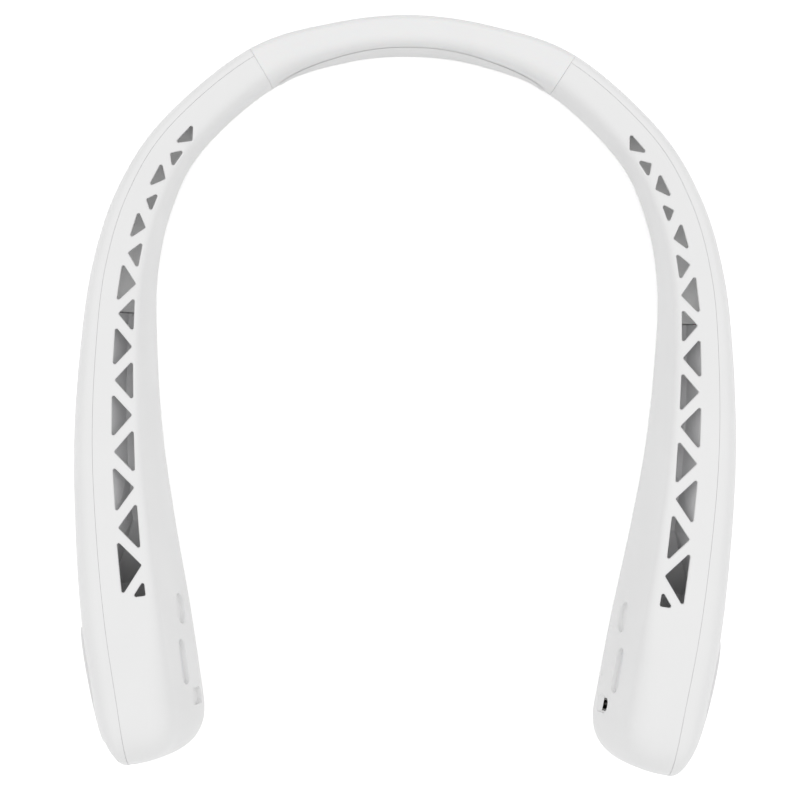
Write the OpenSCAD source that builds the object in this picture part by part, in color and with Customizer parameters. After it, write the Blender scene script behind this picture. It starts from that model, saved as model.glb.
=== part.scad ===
// Electric neck fan. A soft neckband joins two stiff arms. Each arm widens into a head that holds a
// centrifugal fan, and the air leaves through a zigzag row of triangular outlets along the arm's top.
// The fan lies flat: +Z is up through the outlets, +Y points to the neckband, and the origin is on the
// surface that it lies on, under the middle of the fan. The right arm is at +X, the left one mirrors it.

/* [Overall] */
// Width across the two arms at their widest
fan_w = 189; // [182:1:200]
// Length from the neckband to the ends of the heads
fan_l = 218; // [210:1:226]
// Height of the heads
head_h = 56; // [54:0.5:60]
// Thickness of the heads between their outer and inner faces
head_w = 30.6; // [30.2:0.2:33]
// Height of the neckband
band_h = 24; // [23:0.5:26]
// Thickness of the neckband
band_w = 11.6; // [11.4:0.2:13]
// How far the arms' undersides rise off the table halfway along
arch_h = 3; // [1:0.25:4]

/* [Shells] */
// Wall of both shells
wall = 1.8; // [1.4:0.1:2]
// Gap at the parting line and at the neckband's seams
seam_gap = 0.25; // [0.15:0.05:0.4]
// Rounding of the ridge between the top face and the inner face
ridge_r = 2.2; // [1.8:0.1:2.6]
// Length of the rounded end of the head
tip_l = 17.5; // [17:0.25:20]

/* [Outlets] */
// Number of whole outlets on one arm
vent_count = 15; // [9:2:15]
// Distance along the arm from the middle of the neckband to the first outlet
vent_start = 75.3; // [74:0.1:76.5]
// Spacing of the first outlets along the arm
vent_pitch = 7; // [6.8:0.1:7.1]
// Growth of the spacing from one outlet to the next
vent_growth = 0.31; // [0.25:0.01:0.32]
// Height of the first outlet across the arm
vent_first_h = 2.9; // [2.6:0.1:3.1]
// Height of the last outlets across the arm
vent_last_h = 6.2; // [5.8:0.1:6.4]
// Width of the web between two outlets
web_w = 3; // [2.6:0.1:3.2]
// Rounding of an outlet's corners
vent_r = 0.5; // [0.3:0.05:0.6]

/* [Intake cover] */
// Radius of the intake cover
cover_r = 17; // [16.6:0.1:17.6]
// Thickness of the intake cover
cover_t = 1.2; // [1:0.1:1.4]
// How far the cover's face is domed
cover_dome = 0.5; // [0.3:0.1:1]
// Radius of the hole that the cover fits
intake_r = 14.6; // [14.2:0.1:15]
// Circumscribed radius of one intake hole
intake_hole_r = 1.45; // [1.2:0.05:1.6]

/* [Fan] */
// Radius of the impeller
impeller_r = 14.4; // [13.8:0.1:14.8]
// Height of the impeller
impeller_h = 8; // [7.4:0.1:8.4]
// Number of impeller blades
blade_count = 26; // [16:2:32]
// Thickness of a blade
blade_t = 0.6; // [0.5:0.05:0.8]
// Radius at the blades' inner edges
blade_in_r = 10.4; // [9.8:0.1:10.8]
// Radius of the impeller's hub
hub_r = 6.8; // [6.6:0.1:7.2]
// Wall of the fan housing and of the impeller's discs
housing_t = 1; // [0.8:0.1:1.2]
// Gap between the impeller and the housing around it
fan_gap = 0.8; // [0.6:0.1:1]
// How much the scroll widens on its way round
scroll_growth = 3.2; // [2.6:0.1:3.4]

/* [Motor] */
// Radius of the motor shaft
shaft_r = 0.75; // [0.6:0.05:0.9]
// Outer radius of the motor bush
bush_r = 1.6; // [1.5:0.05:1.8]
// Radial clearance of the shaft in its bush
bush_fit = 0.03; // [0.02:0.01:0.05]
// Wall of the steel magnet cup
cup_t = 0.5; // [0.4:0.05:0.6]
// Thickness of the ring magnet
magnet_t = 0.8; // [0.6:0.05:1]
// Air gap between magnet and stator
air_gap = 0.3; // [0.25:0.05:0.4]
// Radius of the motor board
motor_board_r = 8; // [7.5:0.1:9]

/* [Power and controls] */
// Radius of the lithium cell
cell_r = 8; // [7.5:0.1:8.2]
// Length of the lithium cell
cell_l = 50; // [46:0.5:52]
// Thickness of the circuit boards
board_t = 1; // [0.8:0.1:1.2]
// Length of the control board
board_l = 34; // [32:0.5:36]
// Height of the control board
board_h = 20; // [18:0.5:20.5]
// Radius of the push button
button_r = 3.6; // [3.2:0.1:3.8]
// Radius of the dish around the push button
dish_r = 5; // [4.8:0.1:5.4]
// Depth of the dish
dish_d = 0.9; // [0.7:0.05:1]
// Travel of the push button
button_travel = 0.5; // [0.3:0.05:0.6]
// Radial clearance of the button in its hole
button_fit = 0.1; // [0.08:0.01:0.1]
// Length of the indicator window along the arm
window_l = 13; // [12:0.2:14]
// Height of the indicator window
window_h = 5.6; // [5:0.1:6]
// Height of the charging port
port_h = 9; // [8.8:0.1:9.2]
// Width of the charging port
port_w = 3.2; // [3:0.05:3.4]

/* [Neckband] */
// Height of the spring steel core strip
core_h = 9; // [8:0.25:9.5]
// Thickness of the core strip
core_t = 0.6; // [0.4:0.05:0.8]
// Radius of the supply wires
wire_r = 0.7; // [0.5:0.05:0.8]
// Depth of the neck pad at its middle
pad_d = 2.2; // [1.8:0.1:2.4]
// Height of the neck pad
pad_h = 14; // [12:0.5:15]
// Radius of the small screws' threads
screw_r = 0.8; // [0.7:0.05:0.9]

/* [Hidden] */
// Colours as the photograph shows them, and the usual ones for what is hidden inside
shell_white = "#E9E9E8";
soft_white = "#E4E4E2";
smoke = "#C9CCD0";
housing_grey = "#DADBDC";
rotor_grey = "#D2D3D4";
liner_grey = "#D5D6D7";
board_green = "#2F6B3F";
dark_grey = "#3A3A3C";
plunger_grey = "#8A8A8C";
bronze = "#B08D57";
copper = "#B87333";
cell_blue = "#3F6FA8";
wire_red = "#C23B3B";
steel = "silver";

// Numbers of facets
$fn = 48;
ball_facets = 96;
corner_steps = 3;
slope_steps = 4;
curve_steps = 5;
over = 1; // how far a cut runs past what it cuts

// Centre line of an arm from the middle of the neckband to the head, as shares of half the width and
// of half the length, then how far the thickness, the height and the lifted underside have grown
path_x_shares = [0, 0.2275, 0.466, 0.7, 0.812, 0.866, 0.877, 0.87, 0.843, 0.805, 0.762];
path_y_shares = [0.946, 0.923, 0.849, 0.667, 0.491, 0.295, 0.078, -0.151, -0.38, -0.611, -0.829];
thick_shares = [0, 0, 0.063, 0.122, 0.244, 0.361, 0.524, 0.697, 0.862, 1, 1];
rise_shares = [0, 0, 0.05, 0.19, 0.375, 0.56, 0.75, 0.875, 0.96, 1, 1];
lift_shares = [0, 0, 0.1, 0.5, 0.85, 1, 0.9, 0.65, 0.3, 0, 0];
path_end = len(path_x_shares) - 1;
seam_share = 0.2; // how far along the path the neckband meets the arm
seam_at = seam_share * path_end;

// Cross-section of an arm, as shares of its half thickness and of its height
part_share = 0.51;
ridge_share = 0.49;
ridge_gain_share = 0.36; // how much nearer the edge the ridge lies where the arm is thin
belly_share = 0.39;
foot_share = 0.4;
lean_share = 0.4;
soft_share = 1.7; // how much larger the ridge's rounding gets where it is softest
soft_shares = [1, 1, 0.6, 0.2, 0, 0, 0, 0, 0, 0.3, 1]; // how soft the ridge is at each station
bulge_power = 2.5;
outer_power = 3.5;

// Rounded end of a head: where it closes, and how full it is in each direction
pole_share = 0.5;
tip_power = 2.2;
tip_skew = 0.7;
tip_rise_power = 3.5;

// Stations of the shells, with the rounded end past the last one as fractions of its length
arm_stations = [for (i = [0:16]) seam_at + (path_end - seam_at) * i / 16];
tip_fractions = [0.25, 0.5, 0.7, 0.86, 0.96];

function knot(v, i, side) = let (last = len(v) - 1)
    i < 0 ? side * v[-i] : i > last ? 2 * v[last] - v[last - 1] : v[i];
function cubic(a, b, c, d, t) =
    (2 * b + (c - a) * t + (2 * a - 5 * b + 4 * c - d) * t * t + (3 * b - a - 3 * c + d) * t * t * t) / 2;
// Smooth value of a table at a station; side is -1 for a value that changes sign across the middle
function along(v, s, side = 1) = let (i = min(floor(s), len(v) - 2))
    cubic(knot(v, i - 1, side), knot(v, i, side), knot(v, i + 1, side), knot(v, i + 2, side), s - i);

function mid(s) =
    [sign(s) * fan_w / 2 * along(path_x_shares, abs(s), -1), fan_l / 2 * along(path_y_shares, abs(s))];
function unit(v) = v / norm(v);
fine_steps = 500;
path_step = path_end / fine_steps;
function ahead(s) = let (e = min(s, path_end - path_step)) unit(mid(e + path_step) - mid(e - path_step));
function outward(s) = let (d = ahead(s)) [-d.y, d.x];
function spot(s, u, z) = let (p = mid(s) + outward(s) * u) [p.x, p.y, z];
function heading(s) = let (n = outward(s)) atan2(n.y, n.x);

function thick(s) = band_w + (head_w - band_w) * along(thick_shares, abs(s));
function top_z(s) = band_h + (head_h - band_h) * along(rise_shares, abs(s));
function base_z(s) = max(0, arch_h * along(lift_shares, abs(s)));

// Length along the path and back
length_steps = 100;
length_step = path_end / length_steps;
length_table = [for (i = 0, l = 0; i <= length_steps; i = i + 1,
    l = l + norm(mid(i * length_step) - mid((i - 1) * length_step))) [l, i * length_step]];
function station(l) = lookup(l, length_table);

// One corner rounded by a curve from a to b that aims at the corner c
function corner(a, c, b, n) = [for (i = [0:n]) let (t = i / n, u = 1 - t)
    a * u * u + c * 2 * t * u + b * t * t];
// A quarter of a superellipse about c, from a degrees to b degrees
function quarter(c, rx, ry, a, b, n, p) = [for (i = [0:n]) let (q = a + (b - a) * i / n)
    c + [rx * sign(cos(q)) * pow(abs(cos(q)), 2 / p), ry * sign(sin(q)) * pow(abs(sin(q)), 2 / p)]];
function without_first(v) = [for (i = [1:len(v) - 1]) v[i]];
function trim_ends(v) = [for (i = [1:len(v) - 2]) v[i]];

// Outline of an arm at a station, as [outward, up] points. It runs from the top parting point over the
// ridge, down the inner face and under to the bottom parting point, then up the outer face.
function outline(s, in_h, out_h) =
    let (zt = top_z(s), zb = base_z(s), h = zt - zb, part = part_share * out_h,
        sharp_r = min(ridge_r, in_h / 4), r = sharp_r * (1 + soft_share * along(soft_shares, abs(s))),
        ridge = lean_share * (r - sharp_r)
            - in_h * (ridge_share + ridge_gain_share * (1 - in_h / (head_w / 2))),
        fall = [ridge - lean_share * r, zt - r],
        turn = zt - r - (in_h + fall.x) / lean_share,
        belly = min(zb + belly_share * h, turn - r), foot = foot_share * in_h,
        slope = corner(fall, [-in_h, turn], [-in_h, belly], slope_steps),
        under = quarter([-foot, belly], in_h - foot, belly - zb, 180, 270, curve_steps, bulge_power),
        outer = quarter([part, (zt + zb) / 2], out_h - part, h / 2, -90, 90, 2 * curve_steps, outer_power))
    concat([[part, zt]], corner([ridge + r, zt], [ridge, zt], fall, corner_steps),
        without_first(slope), without_first(under), [[part, zb]], trim_ends(outer));
inner_count = 1 + corner_steps + 1 + slope_steps + curve_steps + 1;
outline_count = inner_count + 2 * curve_steps - 1;

function normal(v, i) = let (n = len(v), d = unit(v[(i + 1) % n] - v[(i + n - 1) % n])) [-d.y, d.x];
// The outline moved inwards by d; the partings move straight down and up
function inset(v, d) = d == 0 ? v : [for (i = [0:len(v) - 1])
    i == 0 ? v[i] - [0, d] : i == inner_count - 1 ? v[i] + [0, d] : v[i] + normal(v, i) * d];
function arm_outline(s) = outline(s, thick(s) / 2, thick(s) / 2);

// Ring of points round the arm at a station, or past the last one in the rounded end, d inside the skin
function skin_ring(q, d, pole_shift = 0) =
    let (s = min(q, path_end), t = max(q - path_end, 0), v = inset(arm_outline(s), d),
        pole = [pole_share * thick(s) / 2 + pole_shift, head_h / 2],
        forward = ahead(path_end) * (tip_l - d) * t,
        up = pow(1 - pow(t, tip_rise_power), 1 / tip_rise_power))
    [for (p = v)
        let (a = [(p.x - pole.x) / (head_w / 2), (p.y - pole.y) / (head_h / 2)],
            n = tip_power - tip_skew * a.x / norm(a), out = pow(1 - pow(t, n), 1 / n),
            w = t == 0 ? p : pole + [(p.x - pole.x) * out, (p.y - pole.y) * up], b = spot(s, w.x, w.y))
        b + [forward.x, forward.y, 0]];
function skin_pole(d, pole_shift = 0) =
    let (b = spot(path_end, pole_share * head_w / 2 + pole_shift, head_h / 2),
        f = ahead(path_end) * (tip_l - d))
    b + [f.x, f.y, 0];

function flat(v) = [for (a = v) each a];
// Faces are listed here in counter-clockwise order seen from outside, and turned round for the polyhedron
function turned(faces) = [for (f = faces) [f[0], f[2], f[1]]];
function shifted(faces, n) = [for (f = faces) f + [n, n, n]];
// Numbers of the points along a row or a column of a grid, or once round a closed row
function run(first, n, step = 1) = [for (i = [0:n - 1]) first + i * step];
function loop(first, n) = [for (i = [0:n]) first + i % n];
// Triangles between two rows of points
function strip(p, q) = [for (i = [0:len(p) - 2]) each [[p[i], p[i + 1], q[i + 1]], [p[i], q[i + 1], q[i]]]];

// Faces of a wall between an outer and an inner grid of rows by cols points. The outer grid comes first
// in the list of points. With poles, the last two points close the far end.
function wall_faces(rows, cols, poles) =
    let (inner = rows * cols, last = inner - cols, po = 2 * inner, pi = po + 1, edge = cols - 1,
        grid = [for (j = [0:rows - 2]) each strip(run(j * cols, cols), run((j + 1) * cols, cols))],
        fan = [for (i = [0:cols - 2]) [last + i, last + i + 1, po]])
    concat(grid, turned(shifted(grid, inner)),
        strip(run(0, rows, cols), run(inner, rows, cols)),
        turned(strip(run(edge, rows, cols), run(inner + edge, rows, cols))),
        turned(strip(run(0, cols), run(inner, cols))),
        !poles ? strip(run(last, cols), run(inner + last, cols))
        : concat(fan, [for (f = fan) [f[1] + inner, f[0] + inner, pi]],
            [[last, po, pi], [last, pi, inner + last]],
            [[last + edge, pi, po], [last + edge, inner + last + edge, pi]]));
// Sides of a closed tube of rings, without its ends
function tube_sides(rows, cols) =
    [for (j = [0:rows - 2]) each strip(loop(j * cols, cols), loop((j + 1) * cols, cols))];
// Faces of a closed tube with flat ends
function tube_faces(rows, cols) = let (last = (rows - 1) * cols)
    concat(tube_sides(rows, cols), [for (i = [1:cols - 2]) [0, i + 1, i]],
        [for (i = [1:cols - 2]) [last, last + i, last + i + 1]]);
// Faces of a tube with a channel through it: an outer and an inner grid, joined at both ends
function pipe_faces(rows, cols) =
    let (inner = rows * cols, last = inner - cols, sides = tube_sides(rows, cols))
    concat(sides, turned(shifted(sides, inner)), turned(strip(loop(0, cols), loop(inner, cols))),
        strip(loop(last, cols), loop(inner + last, cols)));

module wall_solid(outer, inner, poles = []) {
    faces = wall_faces(len(outer), len(outer[0]), len(poles) > 0);
    polyhedron(concat(flat(outer), flat(inner), poles), turned(faces));
}
module tube_solid(rings) {
    polyhedron(flat(rings), turned(tube_faces(len(rings), len(rings[0]))));
}
module pipe_solid(outer, inner) {
    polyhedron(concat(flat(outer), flat(inner)), turned(pipe_faces(len(outer), len(outer[0]))));
}

// Stands its children at a station: local X points outwards, Y back towards the neckband, Z up
module at_path(s, u = 0, z = 0) {
    p = spot(s, u, z);
    translate([p.x, p.y, p.z]) rotate([0, 0, heading(s)]) children();
}
// Lays a shape that is built along Z so that it points outwards
module pointing_out() rotate([0, 90, 0]) children();
module left() mirror([1, 0, 0]) children();

// Places in the head
fan_share = 0.97; // how far along the path the fan's axis lies
fan_s = fan_share * path_end;
fan_yaw_angle = -2.5; // turn of the fan's axis from the path's own square
cover_seat = 1; // depth of the flat seat that the intake cover lies on
inlet_depth = 5.2; // from the outer face to the outside of the housing's inlet plate
board_share = 0.95; // how far along the path the middle of the control board lies
board_s = board_share * path_end;
board_z_share = 0.523;
board_z = board_z_share * head_h; // height of the control board's middle
// Places of the controls, as shares of the board's length towards the neckband and of the head's height
button_shares = [0.3735, 0.655];
window_shares = [-0.0706, 0.723];
port_shares = [-0.382, 0.575];
function on_board(shares) = [shares.x * board_l, shares.y * head_h];
button_at = on_board(button_shares);
window_at = on_board(window_shares);
port_at = on_board(port_shares);

// Stands its children on the fan's axis: local X points out of the head, 0 is the outer face
module at_fan() at_path(fan_s, 0, head_h / 2) rotate([0, 0, fan_yaw_angle])
    translate([thick(fan_s) / 2, 0, 0]) children();
// Stands its children in the middle of the control board, on the table
module at_board() at_path(board_s) children();
// A round bar on the local X axis, from x0 to x1
module bar(x0, x1, r) translate([x0, 0, 0]) pointing_out() cylinder(h = x1 - x0, r = r);
// A bar with round ends, long along Y by l and high along Z by h, from x0 to x1
module round_bar(x0, x1, l, h) {
    r = min(l, h) / 2;
    y = l / 2 - r;
    z = h / 2 - r;
    for (k = [-1, 1]) translate([0, k * y, k * z]) bar(x0, x1, r);
    translate([x0, -max(y, r * sign(z)), -max(z, r * sign(y))])
        cube([x1 - x0, 2 * max(y, r * sign(z)), 2 * max(z, r * sign(y))]);
}

// Where the inner face lies at a height, measured outwards from the centre line
function face_u(s, z) = let (v = arm_outline(s), last = corner_steps + 1 + slope_steps)
    lookup(z, [for (i = [last:-1:corner_steps + 1]) [v[i].y, v[i].x]]);

// The button's stack, from the inner face to the control board
button_wall = 0.95; // what is left of the wall behind the dish
button_face = face_u(board_s, button_at.y) + dish_d;
button_seat = button_face + button_wall;
flange_t = 0.6;
flange_w = 0.8;
stem_l = 0.38;
switch_w = 4.5;
switch_h = 1.6;
plunger_r = 0.9;
plunger_out = button_travel + 2 * button_fit; // how far the plunger stands out of its switch
stem_end = button_seat + button_fit + flange_t + stem_l;
switch_face = stem_end + plunger_out;
board_u = switch_face + switch_h; // face of the control board that looks at the inner face

// Shells

tip_stations = [for (f = tip_fractions) path_end + f];
all_stations = concat(arm_stations, tip_stations);
function part_of(ring, first, count) = [for (i = [0:count - 1]) ring[(first + i) % outline_count]];
function pull(a, b, gap) = a + unit(b - a) * min(gap, norm(b - a) / 3);
function trimmed(v, gap) = let (n = len(v)) [for (i = [0:n - 1])
    i == 0 ? pull(v[0], v[1], gap) : i == n - 1 ? pull(v[n - 1], v[n - 2], gap) : v[i]];

// Outlets. Their apexes alternate between an outer and an inner rail along the top face.
rail_low = -1.2; // where the outer rail starts, measured outwards from the centre line
rail_high = 1.75; // where it ends
vent_power = 1.4; // how the outlets' height grows along the arm
// Width of the webs round each outlet
web_shares = [0.72, 0.93, 0.82, 1.11, 0.92, 1.03, 0.75, 0.98, 0.91, 1, 0.97, 1, 1, 1, 0.82, 1];
last_cut_share = 0.89; // how much of the final, cut outlet is left
vent_corner_steps = 3;
grown = vent_count - 5; // outlets over which the height grows
function apex_l(j) = vent_start + vent_pitch * (j - 1) + vent_growth / 2 * (j - 1) * (j - 1);
function outer_rail(j) = let (all = apex_l(vent_count + 1) - apex_l(0))
    rail_low + (rail_high - rail_low) * (apex_l(j) - apex_l(0)) / all;
function vent_h(j) = let (f = min(max(j - 1, 0) / grown, 1))
    vent_first_h + (vent_last_h - vent_first_h) * pow(f, vent_power);
function outer_line(j) = [apex_l(j), outer_rail(j) + web_w / 2];
function inner_line(j) = [apex_l(j), outer_rail(j) - vent_h(j) - web_w / 2];
function web_half(j) = web_w / 2 * web_shares[min(j, len(web_shares)) - 1];
function rail_point(j) = j % 2 == 0 ? outer_line(j) : inner_line(j);
function base_point(j, own) = own % 2 == 0 ? inner_line(j) : outer_line(j);
// The cell of outlet j as three points of [length along the arm, outward]
function cell(j) = j > vent_count
    ? let (a = base_point(j - 1, j), l = (apex_l(j) - apex_l(j - 1)) * last_cut_share,
            rise = outer_line(j).y - a.y)
        [a, a + [l, 0], a + [l, rise * last_cut_share]]
    : [base_point(j - 1, j), base_point(j + 1, j), rail_point(j)];
// A triangle drawn in by d, with its corners rounded to radius r
function rounded_triangle(v, d, r) =
    let (side = [for (i = [0:2]) norm(v[(i + 1) % 3] - v[(i + 2) % 3])],
        around = side[0] + side[1] + side[2],
        middle = (v[0] * side[0] + v[1] * side[1] + v[2] * side[2]) / around,
        turn = cross(v[1] - v[0], v[2] - v[0]), in_r = abs(turn) / around)
    [for (i = [0:2])
        let (p = middle + (v[i] - middle) * (1 - (d + r) / in_r),
            a = v[i] - v[(i + 2) % 3], b = v[(i + 1) % 3] - v[i], w = sign(turn) * 90,
            from = atan2(a.y, a.x) - w, sweep = (atan2(b.y, b.x) - w - from + 540) % 360 - 180)
        for (k = [0:vent_corner_steps])
            let (q = from + sweep * k / vent_corner_steps) p + r * [cos(q), sin(q)]];
module vents() for (j = [1:vent_count + 1]) {
    corners = rounded_triangle(cell(j), web_half(j), vent_r);
    points = [for (p = corners) let (b = spot(station(p.x), p.y, 0)) [b.x, b.y]];
    translate([0, 0, top_z(station(apex_l(j))) - 3 * wall])
        linear_extrude(6 * wall)
            polygon(points);
}

// Ribs and posts inside the inner shell
rib_t = 1.2;
rib_sink = 0.9; // how deep ribs and posts reach into the wall
rib_shares = [0.675, 0.805]; // places of the cradle ribs along the path
post_r = 1.8;
post_shares = [0.85, 0.9, 0.95, 1];
cell_share = 0.74; // how far along the path the middle of the lithium cell lies
cell_s = cell_share * path_end;
cell_u = -0.5; // how far outwards it lies
cell_gap = 0.15;
cell_z = base_z(cell_s) + wall + cell_gap + cell_r + rib_t;
module lithium_cell_shape(gap) at_path(cell_s, cell_u, cell_z) rotate([90, 0, 0])
    cylinder(h = cell_l + 2 * gap, r = cell_r + gap, center = true);

ear_angles = [128, -128, -38]; // where the housing is screwed down, round the fan's axis
ear_r = 2.8;
scroll_start_angle = 50; // angle of the scroll's tongue above the arm's direction
scroll_turn_angle = 320;
scroll_steps = 40;
outlet_l = 19;
function scroll_r(f) = impeller_r + fan_gap + scroll_growth * f;
function ear_place(a) =
    let (f = (scroll_start_angle - a + (a > scroll_start_angle ? 360 : 0)) / scroll_turn_angle,
        r = scroll_r(f) + housing_t + ear_r * 0.75)
    [r * cos(a), r * sin(a)];
// Repeats its children at each ear, on the fan's axis
module at_ears() for (a = ear_angles) {
    p = ear_place(a);
    translate([0, p.x, p.y]) children();
}
back_depth = inlet_depth + 2 * housing_t + 2 * fan_gap + impeller_h;
post_place_shares = [[-0.4, -0.36], [0.4, -0.36], [0.1, 0.17]];
board_posts = [for (p = post_place_shares) [p.x * board_l, board_z + p.y * board_h]];

module cradle_ribs() for (f = rib_shares) let (s = f * path_end) difference() {
    intersection() {
        at_path(s) rotate([90, 0, 0]) linear_extrude(rib_t) polygon(inset(arm_outline(s), rib_sink));
        at_path(s, -head_w / 2, 0) translate([0, -2 * rib_t, 0])
            cube([head_w / 2 + part_share * thick(s) / 2 - seam_gap, 4 * rib_t, cell_z]);
    }
    lithium_cell_shape(cell_gap);
}
module inner_posts() intersection() {
    union() {
        at_fan() at_ears() bar(-head_w, -back_depth, post_r);
        at_board() for (p = board_posts) translate([0, p.x, p.y]) bar(-head_w / 2, board_u, post_r);
    }
    tube_solid([for (q = concat([for (f = post_shares) f * path_end], tip_stations)) skin_ring(q, rib_sink)]);
}

// The inner and the outer part of a ring, and a ring's grid of one of the two
function inner_part(q, d) = part_of(skin_ring(q, d), 0, inner_count);
function outer_part(q, d) =
    trimmed(part_of(skin_ring(q, d, seam_gap), inner_count - 1, 2 * curve_steps + 1), seam_gap);
module inner_shell(port) color(shell_white) difference() {
    union() {
        wall_solid([for (q = all_stations) inner_part(q, 0)], [for (q = all_stations) inner_part(q, wall)],
            [skin_pole(0), skin_pole(wall)]);
        cradle_ribs();
        inner_posts();
    }
    vents();
    at_fan() at_ears() bar(-wall_depth - screw_l - over / 2, -wall_depth, screw_r);
    at_board() {
        button_hole();
        window_hole();
        port_hole(port);
    }
}
module outer_shell() color(shell_white) difference() {
    wall_solid([for (q = all_stations) outer_part(q, 0)], [for (q = all_stations) outer_part(q, wall)],
        [skin_pole(0, seam_gap), skin_pole(wall, seam_gap)]);
    at_fan() {
        bar(-cover_seat, head_w, cover_r + button_fit);
        bar(-head_w / 2, over, intake_r);
    }
}

// Intake cover
cover_ring_shares = [0.253, 0.4706, 0.688];
cover_hole_counts = [8, 15, 22];
dome_steps = 6;
spigot_l = 0.7;
function dome(r) = cover_t + cover_dome * (1 - pow(r / cover_r, 2));
module intake_cover() color(shell_white) at_fan() difference() {
    union() {
        translate([-cover_seat, 0, 0]) pointing_out() rotate_extrude()
            polygon(concat([[0, 0], [cover_r, 0]],
                [for (i = [dome_steps:-1:0]) let (r = cover_r * i / dome_steps) [r, dome(r)]]));
        difference() {
            bar(-cover_seat - spigot_l, -cover_seat + over / 2, intake_r - button_fit);
            bar(-cover_seat - spigot_l - over, -cover_seat, intake_r - button_fit - housing_t);
        }
    }
    for (k = [0:len(cover_hole_counts) - 1], i = [0:cover_hole_counts[k] - 1])
        rotate([360 * i / cover_hole_counts[k], 0, 0])
            translate([-cover_seat - over, 0, cover_ring_shares[k] * cover_r])
            pointing_out() rotate([0, 0, 180 * (i % 2)])
                cylinder(h = cover_t + cover_dome + 2 * over, r = intake_hole_r, $fn = 3);
}

// Fan and motor
// The scroll and its outlet, widened by extra, as [down, back] points from the tongue all the way round
function scroll_outline(extra, outlet) =
    let (floor_z = scroll_r(0) * sin(scroll_start_angle) - extra,
        start = asin(floor_z / (scroll_r(0) + extra)),
        turn = start + scroll_turn_angle - scroll_start_angle)
    concat([for (i = [0:scroll_steps])
        let (a = start - turn * i / scroll_steps,
            r = scroll_r((scroll_start_angle - a) / scroll_turn_angle) + extra)
        [-r * sin(a), r * cos(a)]], [[-scroll_r(1) - extra, outlet], [-floor_z, outlet]]);
// The room inside the scroll, widened by extra, from x0 to x1
module scroll_room(x0, x1, extra, outlet) translate([x0, 0, 0]) pointing_out()
    linear_extrude(x1 - x0) polygon(scroll_outline(extra, outlet));
wall_depth = back_depth - housing_t;
boss_l = impeller_h - 3 * housing_t;
module fan_housing() color(housing_grey) at_fan() difference() {
    union() {
        difference() {
            scroll_room(-back_depth, -inlet_depth - housing_t, housing_t, outlet_l);
            scroll_room(-wall_depth, -inlet_depth, 0, outlet_l + over);
        }
        bar(-back_depth, -back_depth + boss_l, bush_r + housing_t);
        at_ears() bar(-back_depth, -wall_depth, ear_r);
    }
    bar(-back_depth - over, 0, bush_r);
    at_ears() bar(-back_depth - over, 0, screw_r + button_fit);
}
inlet_r = blade_in_r + 2 * housing_t;
module inlet_plate() color(housing_grey) at_fan() difference() {
    union() {
        scroll_room(-inlet_depth - housing_t, -inlet_depth, housing_t, outlet_l);
        bar(-inlet_depth, -wall - seam_gap, inlet_r + housing_t);
    }
    bar(-inlet_depth - 2 * housing_t, 0, inlet_r);
}
screw_l = 6;
screw_head_r = 2 * screw_r;
screw_head_h = 1.2 * screw_r;
// A small screw on the local X axis: its head lies on x = 0 and its thread runs to -x
module screw(l, r) {
    slot = 2 * r / 5;
    difference() {
        bar(0, screw_head_h, screw_head_r);
        for (k = [0, 90]) rotate([k, 0, 0])
            translate([screw_head_h / 2, -r, -slot / 2]) cube([screw_head_h, 2 * r, slot]);
    }
    bar(-l, 0, r);
}
module housing_screws() color(steel) at_fan() at_ears()
    translate([-wall_depth, 0, 0]) screw(screw_l, screw_r);

impeller_x = -wall_depth + fan_gap; // back of the impeller, on the fan's axis
hub_top = impeller_x + impeller_h - fan_gap;
cup_top = hub_top - housing_t;
cup_r = hub_r - housing_t;
blade_sweep_angle = 26;
blade_out_r = impeller_r - housing_t / 4;
blade_steps = 3;
// A point of a blade, a share f of the way out, turned on by extra degrees
function blade_point(f, extra) =
    let (r = blade_in_r + (blade_out_r - blade_in_r) * f,
        a = blade_sweep_angle * f * f + extra * atan(blade_t / r))
    r * [cos(a), sin(a)];
module blade() translate([impeller_x + housing_t / 2, 0, 0]) pointing_out()
    linear_extrude(impeller_h - housing_t)
    polygon(concat([for (k = [0:blade_steps]) blade_point(k / blade_steps, 0)],
        [for (k = [blade_steps:-1:0]) blade_point(k / blade_steps, 1)]));
module impeller() color(rotor_grey) at_fan() difference() {
    union() {
        bar(impeller_x, impeller_x + housing_t, impeller_r);
        bar(impeller_x, hub_top, hub_r);
        for (i = [0:blade_count - 1]) rotate([360 * i / blade_count, 0, 0]) blade();
        difference() {
            bar(impeller_x + impeller_h - housing_t, impeller_x + impeller_h, impeller_r);
            bar(-head_w, 0, impeller_r - housing_t);
        }
    }
    bar(impeller_x - over, cup_top, cup_r);
    bar(impeller_x, cup_top + housing_t / 2, shaft_r);
}
cup_bottom = impeller_x + cup_t;
module magnet_cup() color(steel) at_fan() difference() {
    bar(cup_bottom, cup_top, cup_r);
    bar(cup_bottom - over, cup_top - cup_t, cup_r - cup_t);
    bar(cup_bottom, cup_top + over, shaft_r);
}
module ring_magnet() color(dark_grey) at_fan() difference() {
    bar(cup_bottom, cup_top - cup_t, cup_r - cup_t);
    bar(cup_bottom - over, cup_top, cup_r - cup_t - magnet_t);
}
module motor_shaft() color(steel) at_fan() bar(-back_depth + cup_t, cup_top + housing_t / 2, shaft_r);
module motor_bush() color(bronze) at_fan() difference() {
    bar(-back_depth, -back_depth + boss_l, bush_r);
    bar(-back_depth - over, 0, shaft_r + bush_fit);
}
pole_count = 6;
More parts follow.
